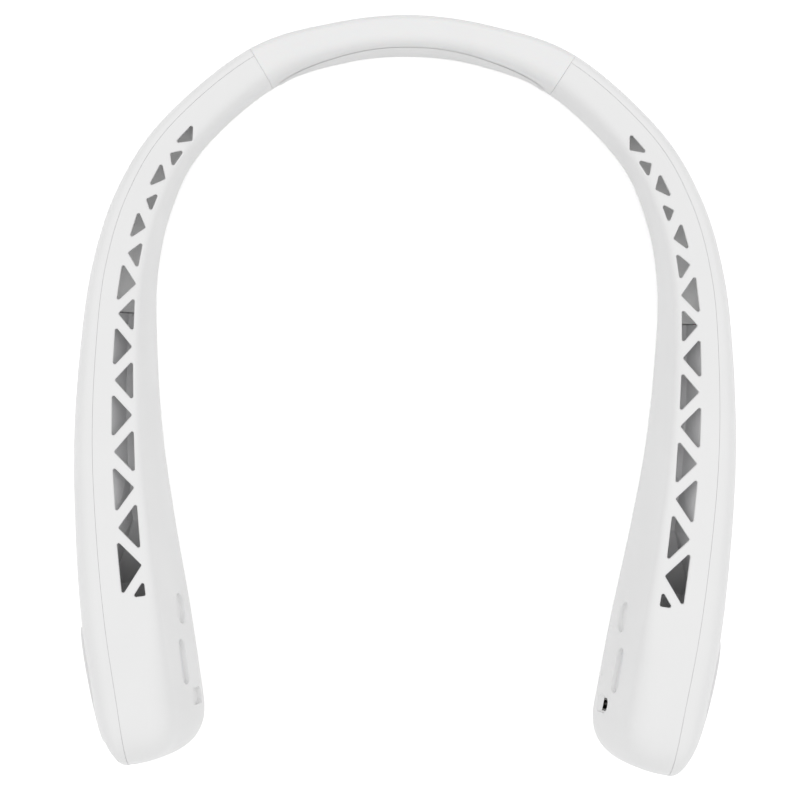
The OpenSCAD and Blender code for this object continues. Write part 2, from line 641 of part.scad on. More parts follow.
module stator() color(copper) at_fan() difference() {
    shoe_r = cup_r - cup_t - magnet_t - air_gap;
    core_r = bush_r + housing_t;
    x0 = -back_depth + housing_t + fan_gap;
    x1 = -back_depth + boss_l;
    union() {
        bar(x0, x1, core_r + housing_t / 2);
        for (i = [0:pole_count - 1]) rotate([360 * i / pole_count, 0, 0])
            translate([x0, -housing_t / 2, core_r + housing_t / 4])
                cube([x1 - x0, housing_t, shoe_r - magnet_t / 4 - core_r - housing_t / 4]);
        difference() {
            bar(x0 + cup_t, x1 - cup_t, shoe_r);
            bar(x0, x1, shoe_r - magnet_t / 2);
            for (i = [0:pole_count - 1]) rotate([360 * (i + 0.5) / pole_count, 0, 0])
                translate([x0, -housing_t / 4, shoe_r / 2]) cube([x1 - x0, housing_t / 2, shoe_r]);
        }
    }
    bar(x0 - over, x1 + over, core_r);
}
module motor_board() color(board_green) at_fan() difference() {
    bar(-back_depth - board_t, -back_depth, motor_board_r);
    bar(-back_depth - 2 * board_t, 0, 2 * shaft_r);
}

// Duct liners, the channel that leads the air from the housing to the outlets
duct_h_share = 0.357;
duct_h = duct_h_share * head_h;
duct_t = 1;
duct_drop = 6; // how far the liner's inner wall stays below the top face
duct_start = 131.5; // length along the arm at which the liner starts, seen through an outlet
duct_shares = [0.61, 0.67, 0.73, 0.79, 0.83, 0.86, 0.884]; // places of its sections along the path
duct_stations = concat([station(duct_start)], [for (f = duct_shares) f * path_end]);
// How far the outer wall has spread at places along the path, then where it stands outwards of the centre
// line as shares of the heads' half thickness: at its foot, at its top, and where it has spread
duct_spread_shares = [[0.8, 0], [0.884, 1]];
duct_foot_share = -0.13;
duct_out_share = 0.14;
duct_wide_share = 0.654;
// How deep the floor lies at places along the path, as shares of its depth at the housing
duct_depth_shares = [[0.74, 0.47], [0.8, 0.6], [0.86, 1]];
function duct_u(s, share) =
    head_w / 2 * (share + (duct_wide_share - share) * lookup(s / path_end, duct_spread_shares));
// The section of the liner, from its inner top edge down, across and up to its outer top edge
function duct_ring(s, d) =
    let (zt = top_z(s), floor_z = zt - duct_h * lookup(s / path_end, duct_depth_shares) + d,
        in_u = inside_u(s, zt - duct_drop) + duct_t * lookup(s / path_end, duct_spread_shares) + d,
        out_u = duct_u(s, duct_out_share) - d,
        dip = out_u > part_share * thick(s) / 2 - wall ? 2 * duct_t : 0)
    [spot(s, in_u, zt - duct_drop), spot(s, in_u, floor_z), spot(s, duct_u(s, duct_foot_share) - d, floor_z),
        spot(s, out_u, zt - wall - seam_gap - dip)];
module duct_liner() color(liner_grey)
    wall_solid([for (s = duct_stations) duct_ring(s, 0)], [for (s = duct_stations) duct_ring(s, duct_t)]);

// The shallow liner under the first outlets, which ends where the deep one starts
front_start = 70; // length along the arm at which it starts
front_h_share = 0.16; // depth of its floor below the top face
front_steps = 10;
front_stations = [for (i = [0:front_steps])
    station(front_start + (duct_start - seam_gap - front_start) * i / front_steps)];
// Where the inside of the inner shell lies at a height, with a gap
function inside_u(s, z) = face_u(s, z) + wall * norm([1, lean_share]) + 2 * seam_gap;
function front_ring(s, d) =
    let (zt = top_z(s), rim_z = zt - duct_drop, floor_z = zt - front_h_share * head_h,
        out_u = part_share * thick(s) / 2 - wall - d)
    [spot(s, inside_u(s, rim_z) + d, rim_z), spot(s, inside_u(s, floor_z) + d, floor_z + d),
        spot(s, out_u, floor_z + d), spot(s, out_u, zt - wall - seam_gap)];
module front_liner() color(liner_grey)
    wall_solid([for (s = front_stations) front_ring(s, 0)], [for (s = front_stations) front_ring(s, duct_t)]);

// Power and controls
module lithium_cell() color(cell_blue) lithium_cell_shape(0);
module control_board() color(board_green) at_board()
    translate([board_u, -board_l / 2, board_z - board_h / 2]) cube([board_t, board_l, board_h]);
module button_hole() translate([0, button_at.x, button_at.y]) {
    dish_ball = (dish_r * dish_r + dish_d * dish_d) / (2 * dish_d);
    translate([button_face - dish_ball, 0, 0]) sphere(r = dish_ball, $fn = ball_facets);
    bar(button_face - over, 0, button_r + button_fit);
    bar(button_seat, button_seat + 3 * wall, button_r + flange_w + 3 * button_fit);
}
module push_button() color(shell_white) at_board() translate([0, button_at.x, button_at.y]) {
    bar(button_face, button_seat + button_fit, button_r);
    bar(button_seat + button_fit, button_seat + button_fit + flange_t, button_r + flange_w);
    bar(button_seat + button_fit + flange_t, stem_end, plunger_r + flange_t);
}
module tact_switch() color(dark_grey) at_board() translate([0, button_at.x, button_at.y]) difference() {
    translate([switch_face, -switch_w / 2, -switch_w / 2]) cube([switch_h, switch_w, switch_w]);
    bar(switch_face - over, board_u - button_fit, plunger_r + button_fit / 2);
}
module switch_plunger() color(plunger_grey) at_board() translate([0, button_at.x, button_at.y])
    bar(stem_end, board_u - button_travel - 2 * button_fit, plunger_r);
window_sink = 0.8; // how deep the window lies in its recess
window_t = 1;
window_face = face_u(board_s, window_at.y) + window_sink;
window_back = window_face + window_t;
module window_hole() translate([0, window_at.x, window_at.y]) {
    edge = 2 * button_fit;
    rim = 2 * flange_w + edge;
    round_bar(-head_w, 0, window_l + edge, window_h + edge);
    round_bar(window_back, window_back + 3 * wall, window_l + rim, window_h + rim);
}
module indicator_window() color(smoke) at_board() translate([0, window_at.x, window_at.y]) {
    round_bar(window_face, window_back + flange_t, window_l, window_h);
    round_bar(window_back, window_back + flange_t, window_l + 2 * flange_w, window_h + 2 * flange_w);
}
port_t = 0.35;
port_recess = 0.8;
port_face = face_u(path_end, port_at.y);
module port_hole(open) translate([0, port_at.x, port_at.y]) {
    round_bar(-head_w, port_face + port_recess, port_w + 2 * port_recess, port_h + 2 * port_recess);
    if (open) round_bar(-head_w, 0, port_w + 4 * button_fit, port_h + 4 * button_fit);
}
module charging_port() color(steel) at_board() translate([0, port_at.x, port_at.y]) {
    front = port_face + port_recess;
    tongue_h = 2 * port_h * port_t;
    difference() {
        round_bar(front, board_u, port_w, port_h);
        round_bar(front - over, board_u - 2 * port_t, port_w - 2 * port_t, port_h - 2 * port_t);
    }
    translate([front + port_t, -port_t, -tongue_h / 2])
        cube([board_u - front - 2 * port_t, 2 * port_t, tongue_h]);
}

// Neckband
core_u = 1.1; // the strip and the wires lie this far outside the centre line
wire_gap_z = core_h + 3.6 * wire_r; // height between the two wires
clamp_l = 9;
clamp_share = 0.204; // how far along the path lies the outline that the clamp takes
clamp_mid_share = 0.222; // and the clamp's middle
clamp_s = clamp_share * path_end;
clamp_hole_s = clamp_mid_share * path_end;
channel_wall = 2.8;
pad_reach_share = 0.188; // how far along the path the neck pad ends
pad_s = pad_reach_share * path_end;
pad_steps = 14;
sleeve_steps = 20;
function pad_share(s) = max(0, 1 - pow(s / pad_s, 2));
// A point at a station on either side of the middle; s is negative on the left
function side_spot(s, u, z) = let (p = spot(abs(s), u, z)) [s < 0 ? -p.x : p.x, p.y, p.z];
function band_ring(s, d) = let (h = thick(s) / 2)
    [for (p = inset(outline(abs(s), h - pad_d * pad_share(s), h), d)) side_spot(s, p.x, p.y)];
function end_shift(s) = let (f = ahead(seam_at))
    abs(s) < seam_at ? [0, 0, 0] : [-sign(s) * f.x, -f.y, 0] * seam_gap;
function sleeve_rings(d) = [for (i = [-sleeve_steps:sleeve_steps]) let (s = seam_at * i / sleeve_steps)
    [for (p = band_ring(s, d)) p + end_shift(s)]];
module neckband_sleeve() color(soft_white) pipe_solid(sleeve_rings(0), sleeve_rings(channel_wall));

pad_low = 3; // how far the pad stays above the sleeve's underside
pad_min = 0.3; // depth of the pad's edge
pad_end_share = 0.55; // height of the pad's ends
pad_power = 2;
function pad_ring(s) =
    let (h = thick(s) / 2, back = pad_d * pad_share(s) - pad_min - h, deep = max(back + h, pad_min),
        high = pad_h / 2 * (pad_end_share + (1 - pad_end_share) * sqrt(pad_share(s))))
    [for (a = [90:20:270])
        side_spot(s, back - deep * pow(abs(cos(a)), pad_power), pad_low + pad_h / 2 + high * sin(a))];
module neck_pad() color(soft_white)
    tube_solid([for (i = [-pad_steps:pad_steps]) pad_ring(pad_s * i / pad_steps)]);

core_end_share = 0.236; // how far along the path the strip and the wires end
core_end_s = core_end_share * path_end;
core_steps = 12;
core_stations = [for (i = [-core_steps:core_steps]) core_end_s * i / core_steps];
core_corners = [[1, -1], [1, 1], [-1, 1], [-1, -1]] / 2;
module core_strip() color(steel) difference() {
    tube_solid([for (s = core_stations) [for (c = core_corners)
        side_spot(s, core_u + c.x * core_t, band_h / 2 + c.y * core_h)]]);
    for (k = [0, 1]) mirror([k, 0, 0]) clamp_holes(screw_r + button_fit);
}
wire_angles = [0:60:300];
module band_wires() color(wire_red) for (k = [-1, 1])
    tube_solid([for (s = core_stations) [for (a = wire_angles)
        side_spot(s, core_u + wire_r * cos(a), band_h / 2 + k * wire_gap_z / 2 + wire_r * sin(a))]]);
// Repeats its children at the clamp's two screws, which lie along local X
module at_screws() at_path(clamp_hole_s, 0, band_h / 2)
    for (k = [-1, 1]) translate([0, 0, k * core_h / 4]) children();
module clamp_holes(r) at_screws() bar(-band_w, band_w, r);
module core_clamp() color(dark_grey) difference() {
    slot = 4 * button_fit;
    intersection() {
        at_path(clamp_hole_s) rotate([90, 0, 0]) linear_extrude(clamp_l, center = true)
            polygon(inset(arm_outline(clamp_s), wall + 2 * seam_gap));
        at_path(clamp_hole_s, 0, band_h / 2)
            cube([2 * band_w, 2 * clamp_l, band_h - 2 * wall - 8 * seam_gap], center = true);
    }
    at_path(clamp_hole_s, core_u, band_h / 2)
        cube([core_t + slot, 3 * clamp_l, core_h + slot], center = true);
    for (k = [-1, 1]) at_path(clamp_hole_s, core_u, band_h / 2 + k * wire_gap_z / 2) rotate([90, 0, 0])
        cylinder(h = 3 * clamp_l, r = wire_r + 3 * button_fit, center = true);
    clamp_holes(screw_r);
}
module clamp_screws() color(steel) at_screws() bar(-band_w / 4, band_w / 4, screw_r);

// Wires in an arm, from the clamp to the control board, as shares of the path, of half the thickness
// outwards and of the height; then over the cell, and last round to the board's back
route_shares = [[0.24, 0.167, 0.4425], [0.3, 0.144, 0.4], [0.4, 0.123, 0.39], [0.5, 0.108, 0.406],
    [0.6, 0.093, 0.46]];
over_cell_shares = [[0.7, 0.08], [0.8, 0], [0.86, -0.134]];
to_board_shares = [0.886, 0.895];
wires_z = (cell_z + cell_r + top_z(cell_s) - duct_h) / 2;
arm_route = concat(
    [for (r = route_shares) let (s = r.x * path_end) [s, r.y * thick(s) / 2, r.z * top_z(s)]],
    [for (r = over_cell_shares) let (s = r.x * path_end) [s, r.y * thick(s) / 2, wires_z]],
    [for (i = [0, 1]) [to_board_shares[i] * path_end,
        board_u + board_t + (i == 0 ? 4 * wire_r : wire_r - 3 * button_fit), wires_z]]);
route_last = len(arm_route) - 1;
wire_close = 1.4 * wire_r; // half the height between the wires in the arm
wire_merge = 3; // how much nearer they come from one point of the route to the next
function route(i, t) =
    cubic(arm_route[max(i - 1, 0)], arm_route[i], arm_route[i + 1], arm_route[min(i + 2, route_last)], t);
function wire_ring(p, rise) =
    [for (a = wire_angles) spot(p[0], p[1] + wire_r * cos(a), p[2] + rise + wire_r * sin(a))];
module arm_wires() color(wire_red) for (k = [-1, 1])
    tube_solid([for (i = [0:route_last - 1], t = [0, 0.34, 0.67])
        wire_ring(route(i, t), k * max(wire_close, wire_gap_z / 2 - wire_merge * i))]);

neckband_sleeve();
neck_pad();
core_strip();
band_wires();
inner_shell(true);  // right_inner_shell
left() inner_shell(false);  // left_inner_shell
outer_shell();  // right_outer_shell
left() outer_shell();  // left_outer_shell
intake_cover();  // right_intake_cover
left() intake_cover();  // left_intake_cover
fan_housing();  // right_fan_housing
left() fan_housing();  // left_fan_housing
inlet_plate();  // right_inlet_plate
left() inlet_plate();  // left_inlet_plate
impeller();  // right_impeller
left() impeller();  // left_impeller
magnet_cup();  // right_magnet_cup
left() magnet_cup();  // left_magnet_cup
ring_magnet();  // right_ring_magnet
left() ring_magnet();  // left_ring_magnet
motor_shaft();  // right_motor_shaft
left() motor_shaft();  // left_motor_shaft
motor_bush();  // right_motor_bush
left() motor_bush();  // left_motor_bush
stator();  // right_stator
left() stator();  // left_stator
motor_board();  // right_motor_board
left() motor_board();  // left_motor_board
front_liner();  // right_front_liner
left() front_liner();  // left_front_liner
duct_liner();  // right_duct_liner
left() duct_liner();  // left_duct_liner
lithium_cell();  // right_lithium_cell
left() lithium_cell();  // left_lithium_cell
control_board();  // right_control_board
left() control_board();  // left_control_board
tact_switch();  // right_tact_switch
left() tact_switch();  // left_tact_switch
switch_plunger();  // right_switch_plunger
left() switch_plunger();  // left_switch_plunger
push_button();  // right_push_button
left() push_button();  // left_push_button
indicator_window();  // right_indicator_window
left() indicator_window();  // left_indicator_window
core_clamp();  // right_core_clamp
left() core_clamp();  // left_core_clamp
clamp_screws();  // right_clamp_screws
left() clamp_screws();  // left_clamp_screws
housing_screws();  // right_housing_screws
left() housing_screws();  // left_housing_screws
arm_wires();  // right_arm_wires
left() arm_wires();  // left_arm_wires
charging_port();
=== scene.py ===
"""Looks of an electric neck fan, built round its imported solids.

A soft silicone neckband joins two stiff moulded arms. Each arm widens into a head with a fan inside, and the
air leaves through a zigzag row of triangular outlets along its top. The visible pieces are modelled here at
full detail in the frame's own places; what is hidden inside keeps its solids and gets its materials.
"""

from __future__ import annotations

import logging
import math
from dataclasses import dataclass
from enum import Enum
from functools import lru_cache
from typing import Any, Iterable, Sequence

import bmesh
import bpy
from mathutils import Matrix, Vector

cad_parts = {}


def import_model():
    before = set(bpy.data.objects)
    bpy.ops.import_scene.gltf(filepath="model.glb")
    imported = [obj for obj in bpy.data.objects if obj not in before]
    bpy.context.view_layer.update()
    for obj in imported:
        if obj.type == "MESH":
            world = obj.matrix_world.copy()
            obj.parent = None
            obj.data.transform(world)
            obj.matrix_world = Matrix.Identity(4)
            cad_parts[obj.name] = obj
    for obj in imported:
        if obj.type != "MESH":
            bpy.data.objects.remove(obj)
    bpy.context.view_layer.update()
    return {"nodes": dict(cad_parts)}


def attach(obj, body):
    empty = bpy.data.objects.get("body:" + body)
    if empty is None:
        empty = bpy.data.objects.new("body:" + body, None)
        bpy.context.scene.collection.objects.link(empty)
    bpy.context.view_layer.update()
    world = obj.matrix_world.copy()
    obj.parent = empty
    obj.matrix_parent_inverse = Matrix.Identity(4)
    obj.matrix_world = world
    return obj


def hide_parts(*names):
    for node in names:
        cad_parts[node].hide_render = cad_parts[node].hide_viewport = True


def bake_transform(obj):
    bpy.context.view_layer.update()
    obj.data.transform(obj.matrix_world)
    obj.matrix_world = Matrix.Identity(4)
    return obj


LOG = logging.getLogger("neck_fan")
MM = 0.001
# Edges that turn more than the first angle are shaded hard; those that turn more than the second are
# bevelled.
SHARP_ANGLE = math.radians(38)
EASE_ANGLE = math.radians(60)
# How far the rim of a recess is rounded before its plug runs straight out of the surface.
RIM_TURN = math.radians(70)
# Distance in millimetres at which points are joined, and one at which they count as level with a plane.
MERGE = 1e-4
LEVEL = 0.01
# Steps of a full turn for the grille and its seat.
ROUND_STEPS = 128

Point = tuple[float, float]


class Side(Enum):
    """The two arms. The value is the sign of X."""

    RIGHT = 1
    LEFT = -1

    @property
    def word(self) -> str:
        """The side's name in lower case, as the nodes and bodies use it."""
        return self.name.lower()


# Shape of the arms


def cubic(a: float, b: float, c: float, d: float, t: float) -> float:
    """Value of a smooth curve through four even knots, at a share t of the way from b to c."""
    return (2 * b + (c - a) * t + (2 * a - 5 * b + 4 * c - d) * t**2 + (3 * b - a - 3 * c + d) * t**3) / 2


def along(table: Sequence[float], s: float, side: int = 1) -> float:
    """Smooth value of a table at a station.

    Args:
        table: values at stations 0, 1, 2 and so on.
        s: the station.
        side: -1 where the value changes sign across the middle, 1 where it mirrors.

    Returns:
        The value at the station.
    """
    last = len(table) - 1
    i = min(int(s), last - 1)
    before = side * table[1] if i == 0 else table[i - 1]
    after = 2 * table[last] - table[last - 1] if i == last - 1 else table[i + 2]
    return cubic(before, table[i], table[i + 1], after, s - i)


def arc(centre: Point, size: Point, start: float, end: float, steps: int, power: float) -> list[Point]:
    """Part of a superellipse.

    Args:
        centre: its centre.
        size: its two half axes.
        start, end: angles in degrees.
        steps: number of steps.
        power: 2 gives an ellipse, more gives a squarer shape.

    Returns:
        The points from start to end, both included.
    """
    points = []
    for i in range(steps + 1):
        a = math.radians(start + (end - start) * i / steps)
        c, s = math.cos(a), math.sin(a)
        points.append((centre[0] + size[0] * math.copysign(abs(c) ** (2 / power), c),
                       centre[1] + size[1] * math.copysign(abs(s) ** (2 / power), s)))
    return points


def corner(a: Point, aim: Point, b: Point, steps: int) -> list[Point]:
    """A rounded corner from a to b that aims at the point between them.

    Args:
        a, b: its ends.
        aim: the corner that it rounds.
        steps: number of steps.

    Returns:
        The points from a to b, both included.
    """
    points = []
    for i in range(steps + 1):
        t = i / steps
        points.append(tuple(p * (1 - t) ** 2 + q * 2 * t * (1 - t) + r * t * t for p, q, r in zip(a, aim, b)))
    return points


def spread(a: Point, b: Point, steps: int) -> list[Point]:
    """Points at even steps on a straight line from a to b, both included."""
    return [tuple(p + (q - p) * i / steps for p, q in zip(a, b)) for i in range(steps + 1)]


@dataclass(frozen=True)
class ArmForm:
    """Centre line and cross-sections of an arm and its half of the neckband, in millimetres.

    Stations run from 0 in the middle of the neckband over 2 at its end to 10 in the head. The tables hold
    shares of the sizes, as the part's source has them.
    """

    width: float = 189.0
    length: float = 218.0
    head_height: float = 56.0
    head_width: float = 30.6
    band_height: float = 24.0
    band_width: float = 11.6
    arch_height: float = 3.0
    ridge_radius: float = 2.2
    tip_length: float = 17.5
    end: int = 10
    seam: float = 2.0
    part_share: float = 0.51
    ridge_share: float = 0.49
    ridge_gain_share: float = 0.36
    belly_share: float = 0.39
    foot_share: float = 0.4
    lean_share: float = 0.4
    soft_share: float = 1.7
    bulge_power: float = 2.5
    outer_power: float = 3.5
    pole_share: float = 0.5
    tip_power: float = 2.2
    tip_skew: float = 0.7
    tip_rise_power: float = 3.5
    top_steps: int = 16
    corner_steps: int = 8
    slope_steps: int = 20
    belly_steps: int = 16
    under_steps: int = 8
    outer_steps: int = 34
    length_step: float = 0.1
    path_x: tuple[float, ...] = (0, 0.2275, 0.466, 0.7, 0.812, 0.866, 0.877, 0.87, 0.843, 0.805, 0.762)
    path_y: tuple[float, ...] = (0.946, 0.923, 0.849, 0.667, 0.491, 0.295, 0.078,
                                 -0.151, -0.38, -0.611, -0.829)
    thick_gain: tuple[float, ...] = (0, 0, 0.063, 0.122, 0.244, 0.361, 0.524, 0.697, 0.862, 1, 1)
    rise_gain: tuple[float, ...] = (0, 0, 0.05, 0.19, 0.375, 0.56, 0.75, 0.875, 0.96, 1, 1)
    lift_gain: tuple[float, ...] = (0, 0, 0.1, 0.5, 0.85, 1, 0.9, 0.65, 0.3, 0, 0)
    soft: tuple[float, ...] = (1, 1, 0.6, 0.2, 0, 0, 0, 0, 0, 0.3, 1)

    @property
    def inner_count(self) -> int:
        """Number of outline points on the inner shell, from parting to parting."""
        return self.top_steps + self.corner_steps + self.slope_steps + self.belly_steps + self.under_steps + 1

    def mid(self, s: float) -> Vector:
        """Point of the centre line at a station, on the table."""
        return Vector((self.width / 2 * along(self.path_x, s, -1), self.length / 2 * along(self.path_y, s)))

    def ahead(self, s: float) -> Vector:
        """Direction of the centre line at a station, towards the head.

        Args:
            s: the station.

        Returns:
            The direction, of length 1.
        """
        step = 0.02
        e = min(s, self.end - step)
        if e < step:
            return Vector((1, 0))
        return (self.mid(e + step) - self.mid(e - step)).normalized()

    def spot(self, s: float, u: float, z: float) -> Vector:
        """Point in the section at a station.

        Args:
            s: the station.
            u: its place outwards from the centre line.
            z: its height above the table.

        Returns:
            The point in millimetres.
        """
        d = self.ahead(s)
        p = self.mid(s) + Vector((-d.y, d.x)) * u
        return Vector((p.x, p.y, z))

    def thick(self, s: float) -> float:
        """Thickness between the inner and outer faces at a station."""
        return self.band_width + (self.head_width - self.band_width) * along(self.thick_gain, s)

    def top(self, s: float) -> float:
        """Height of the top face at a station."""
        return self.band_height + (self.head_height - self.band_height) * along(self.rise_gain, s)

    def base(self, s: float) -> float:
        """Height of the underside at a station."""
        return max(0.0, self.arch_height * along(self.lift_gain, s))

    def place(self, s: float, u: float = 0.0, z: float = 0.0, turn: float = 0.0) -> Matrix:
        """Frame at a station: X points outwards, Y back towards the neckband, Z up.

        Args:
            s: the station.
            u, z: its place outwards and upwards.
            turn: a further turn about Z in degrees.

        Returns:
            The frame as a matrix in millimetres.
        """
        d = self.ahead(s)
        heading = math.atan2(d.x, -d.y) + math.radians(turn)
        return Matrix.Translation(self.spot(s, u, z)) @ Matrix.Rotation(heading, 4, "Z")

    def outline(self, s: float, hollow: float = 0.0) -> list[Point]:
        """Closed cross-section at a station as (outwards, up) points.

        It runs from the top parting point over the ridge, down the inner face and under to the bottom
        parting point, then up the outer face.

        Args:
            s: the station.
            hollow: how much the inner face is drawn in, for the neck pad.

        Returns:
            The outline's points; the first one isn't repeated.
        """
        out_h = self.thick(s) / 2
        in_h = out_h - hollow
        zt, zb = self.top(s), self.base(s)
        part = self.part_share * out_h
        sharp = min(self.ridge_radius, in_h / 4)
        r = sharp * (1 + self.soft_share * along(self.soft, s))
        gain = self.ridge_gain_share * (1 - in_h / (self.head_width / 2))
        ridge = self.lean_share * (r - sharp) - in_h * (self.ridge_share + gain)
        fall = (ridge - self.lean_share * r, zt - r)
        turn = zt - r - (in_h + fall[0]) / self.lean_share
        belly = min(zb + self.belly_share * (zt - zb), turn - r)
        foot = self.foot_share * in_h
        return (
            spread((part, zt), (ridge + r, zt), self.top_steps)
            + corner((ridge + r, zt), (ridge, zt), fall, self.corner_steps)[1:]
            + corner(fall, (-in_h, turn), (-in_h, belly), self.slope_steps)[1:]
            + arc((-foot, belly), (in_h - foot, belly - zb), 180, 270, self.belly_steps, self.bulge_power)[1:]
            + spread((-foot, zb), (part, zb), self.under_steps)[1:]
            + arc((part, (zt + zb) / 2), (out_h - part, (zt - zb) / 2), -90, 90, self.outer_steps,
                  self.outer_power)[1:-1]
        )

    def skin_z(self, s: float, u: float) -> float:
        """Height of the skin above a point between the parting line and the inner face.

        Args:
            s: the station.
            u: the point's place outwards from the centre line.

        Returns:
            The height above the table.
        """
        points = self.outline(s)[self.top_steps: self.top_steps + self.corner_steps + self.slope_steps]
        if u >= points[0][0]:
            return points[0][1]
        for (u0, z0), (u1, z1) in zip(points, points[1:]):
            if u >= u1:
                return z1 + (z0 - z1) * (u - u1) / (u0 - u1)
        return points[-1][1]

    def face_u(self, s: float, z: float) -> float:
        """Where the inner face lies at a height.

        Args:
            s: the station.
            z: the height above the table.

        Returns:
            Its place outwards from the centre line, which is negative.
        """
        first = self.top_steps + self.corner_steps
        points = self.outline(s)[first: first + self.slope_steps + 1]
        for (u0, z0), (u1, z1) in zip(points, points[1:]):
            if z >= z1:
                return u1 + (u0 - u1) * (z - z1) / (z0 - z1)
        return points[-1][0]

    def ring(self, q: float, side: Side, pole_shift: float = 0.0) -> list[Vector]:
        """Ring of skin points at a station, or past the last one in the head's rounded end.

        Args:
            q: the station; the rounded end runs from the last station to one more.
            side: the arm's side.
            pole_shift: how far outwards the point where the end closes is moved.

        Returns:
            The ring's points in millimetres.
        """
        s, t = min(q, self.end), max(q - self.end, 0.0)
        pole = (self.pole_share * self.thick(s) / 2 + pole_shift, self.head_height / 2)
        forward = self.ahead(self.end) * self.tip_length * t
        points = []
        for u, z in self.outline(s):
            if t > 0:
                a = ((u - pole[0]) / (self.head_width / 2), (z - pole[1]) / (self.head_height / 2))
                power = self.tip_power - self.tip_skew * a[0] / math.hypot(*a)
                out = max(0.0, 1 - t**power) ** (1 / power)
                up = max(0.0, 1 - t**self.tip_rise_power) ** (1 / self.tip_rise_power)
                u, z = pole[0] + (u - pole[0]) * out, pole[1] + (z - pole[1]) * up
            p = self.spot(s, u, z)
            points.append(Vector(((p.x + forward.x) * side.value, p.y + forward.y, p.z)))
        return points

    def pole(self, side: Side, pole_shift: float = 0.0) -> Vector:
        """Point where the head's rounded end closes.

        Args:
            side: the arm's side.
            pole_shift: how far outwards it is moved.

        Returns:
            The point in millimetres.
        """
        p = self.spot(self.end, self.pole_share * self.head_width / 2 + pole_shift, self.head_height / 2)
        forward = self.ahead(self.end) * self.tip_length
        return Vector(((p.x + forward.x) * side.value, p.y + forward.y, p.z))

    @lru_cache(maxsize=4)
    def lengths(self) -> tuple[tuple[float, float], ...]:
        """Length along the centre line against the station.

        Returns:
            Rows of length and station.
        """
        rows, total, step = [(0.0, 0.0)], 0.0, self.length_step
        for i in range(1, round(self.end / step) + 1):
            total += (self.mid(i * step) - self.mid((i - 1) * step)).length
            rows.append((total, i * step))
        return tuple(rows)

    def station(self, length: float) -> float:
        """Station at a length along the centre line.

        Args:
            length: the length from the middle of the neckband.

        Returns:
            The station.
        """
        rows = self.lengths()
        for (l0, s0), (l1, s1) in zip(rows, rows[1:]):
            if length <= l1:
                return s0 + (s1 - s0) * (length - l0) / (l1 - l0)
        return rows[-1][1]


@dataclass(frozen=True)
class OutletRow:
    """Zigzag row of triangular outlets on an arm's top face, in millimetres.

    The outlets are numbered from the neckband. They grow towards the head, apart from the last few, and one
    more after the counted ones is cut short by the head's end.
    """

    count: int = 15
    even_count: int = 5
    start: float = 75.3
    pitch: float = 7.0
    growth: float = 0.31
    first_height: float = 2.9
    last_height: float = 6.2
    web: float = 3.0
    corner_radius: float = 0.5
    rail_low: float = -1.2
    rail_high: float = 1.75
    power: float = 1.4
    last_cut_share: float = 0.89
    corner_steps: int = 6
    rim: float = 0.42
    depth: float = 6.0
    over: float = 1.0
    web_shares: tuple[float, ...] = (0.72, 0.93, 0.82, 1.11, 0.92, 1.03, 0.75, 0.98,
                                     0.91, 1, 0.97, 1, 1, 1, 0.82, 1)

    def apex(self, j: int) -> float:
        """Length along the arm of apex j."""
        return self.start + self.pitch * (j - 1) + self.growth / 2 * (j - 1) ** 2

    def grown(self, j: int) -> float:
        """Share of the outlets over which the height grows, at outlet j."""
        return max(j - 1, 0) / (self.count - self.even_count)

    def outer_line(self, j: int) -> Point:
        """Point of the outer rail at an apex, in the middle of its web."""
        share = (self.apex(j) - self.apex(0)) / (self.apex(self.count + 1) - self.apex(0))
        return (self.apex(j), self.rail_low + (self.rail_high - self.rail_low) * share + self.web / 2)

    def inner_line(self, j: int) -> Point:
        """Point of the inner rail at an apex, in the middle of its web.

        Args:
            j: the apex's number.

        Returns:
            The point as (length along the arm, outwards).
        """
        grown = min(self.grown(j), 1) ** self.power
        height = self.first_height + (self.last_height - self.first_height) * grown
        return (self.apex(j), self.outer_line(j)[1] - height - self.web)

    def web_half(self, j: int) -> float:
        """Half the width of the webs round outlet j."""
        return self.web / 2 * self.web_shares[j - 1]

    def cell(self, j: int) -> list[Point]:
        """The three corners of an outlet's cell, in the middle of the webs round it.

        Args:
            j: the outlet's number.

        Returns:
            The corners as (length along the arm, outwards) points.
        """
        base = self.inner_line if j % 2 == 0 else self.outer_line
        apex = self.outer_line if j % 2 == 0 else self.inner_line
        if j <= self.count:
            return [base(j - 1), base(j + 1), apex(j)]
        a = base(j - 1)
        run = (self.apex(j) - self.apex(j - 1)) * self.last_cut_share
        rise = (self.outer_line(j)[1] - a[1]) * self.last_cut_share
        return [a, (a[0] + run, a[1]), (a[0] + run, a[1] + rise)]

    def shape(self, j: int, wider: float) -> list[Point]:
        """Outline of outlet j with rounded corners.

        Args:
            j: the outlet's number.
            wider: how much wider than the outlet the outline is, all round.

        Returns:
            The outline's points as (length along the arm, outwards).
        """
        v = [Vector(p) for p in self.cell(j)]
        d, r = self.web_half(j) - wider, self.corner_radius + wider
        side = [(v[(i + 1) % 3] - v[(i + 2) % 3]).length for i in range(3)]
        around = sum(side)
        middle = (v[0] * side[0] + v[1] * side[1] + v[2] * side[2]) / around
        turn = (v[1] - v[0]).cross(v[2] - v[0])
        in_r = abs(turn) / around
        points = []
        for i in range(3):
            p = middle + (v[i] - middle) * (1 - (d + r) / in_r)
            a, b = v[i] - v[(i + 2) % 3], v[(i + 1) % 3] - v[i]
            first = math.atan2(a.y, a.x) - math.copysign(math.pi / 2, turn)
            sweep = (math.atan2(b.y, b.x) - math.atan2(a.y, a.x) + 3 * math.pi) % (2 * math.pi) - math.pi
            for k in range(self.corner_steps + 1):
                q = first + sweep * k / self.corner_steps
                points.append((p.x + r * math.cos(q), p.y + r * math.sin(q)))
        return points


# Tools for meshes


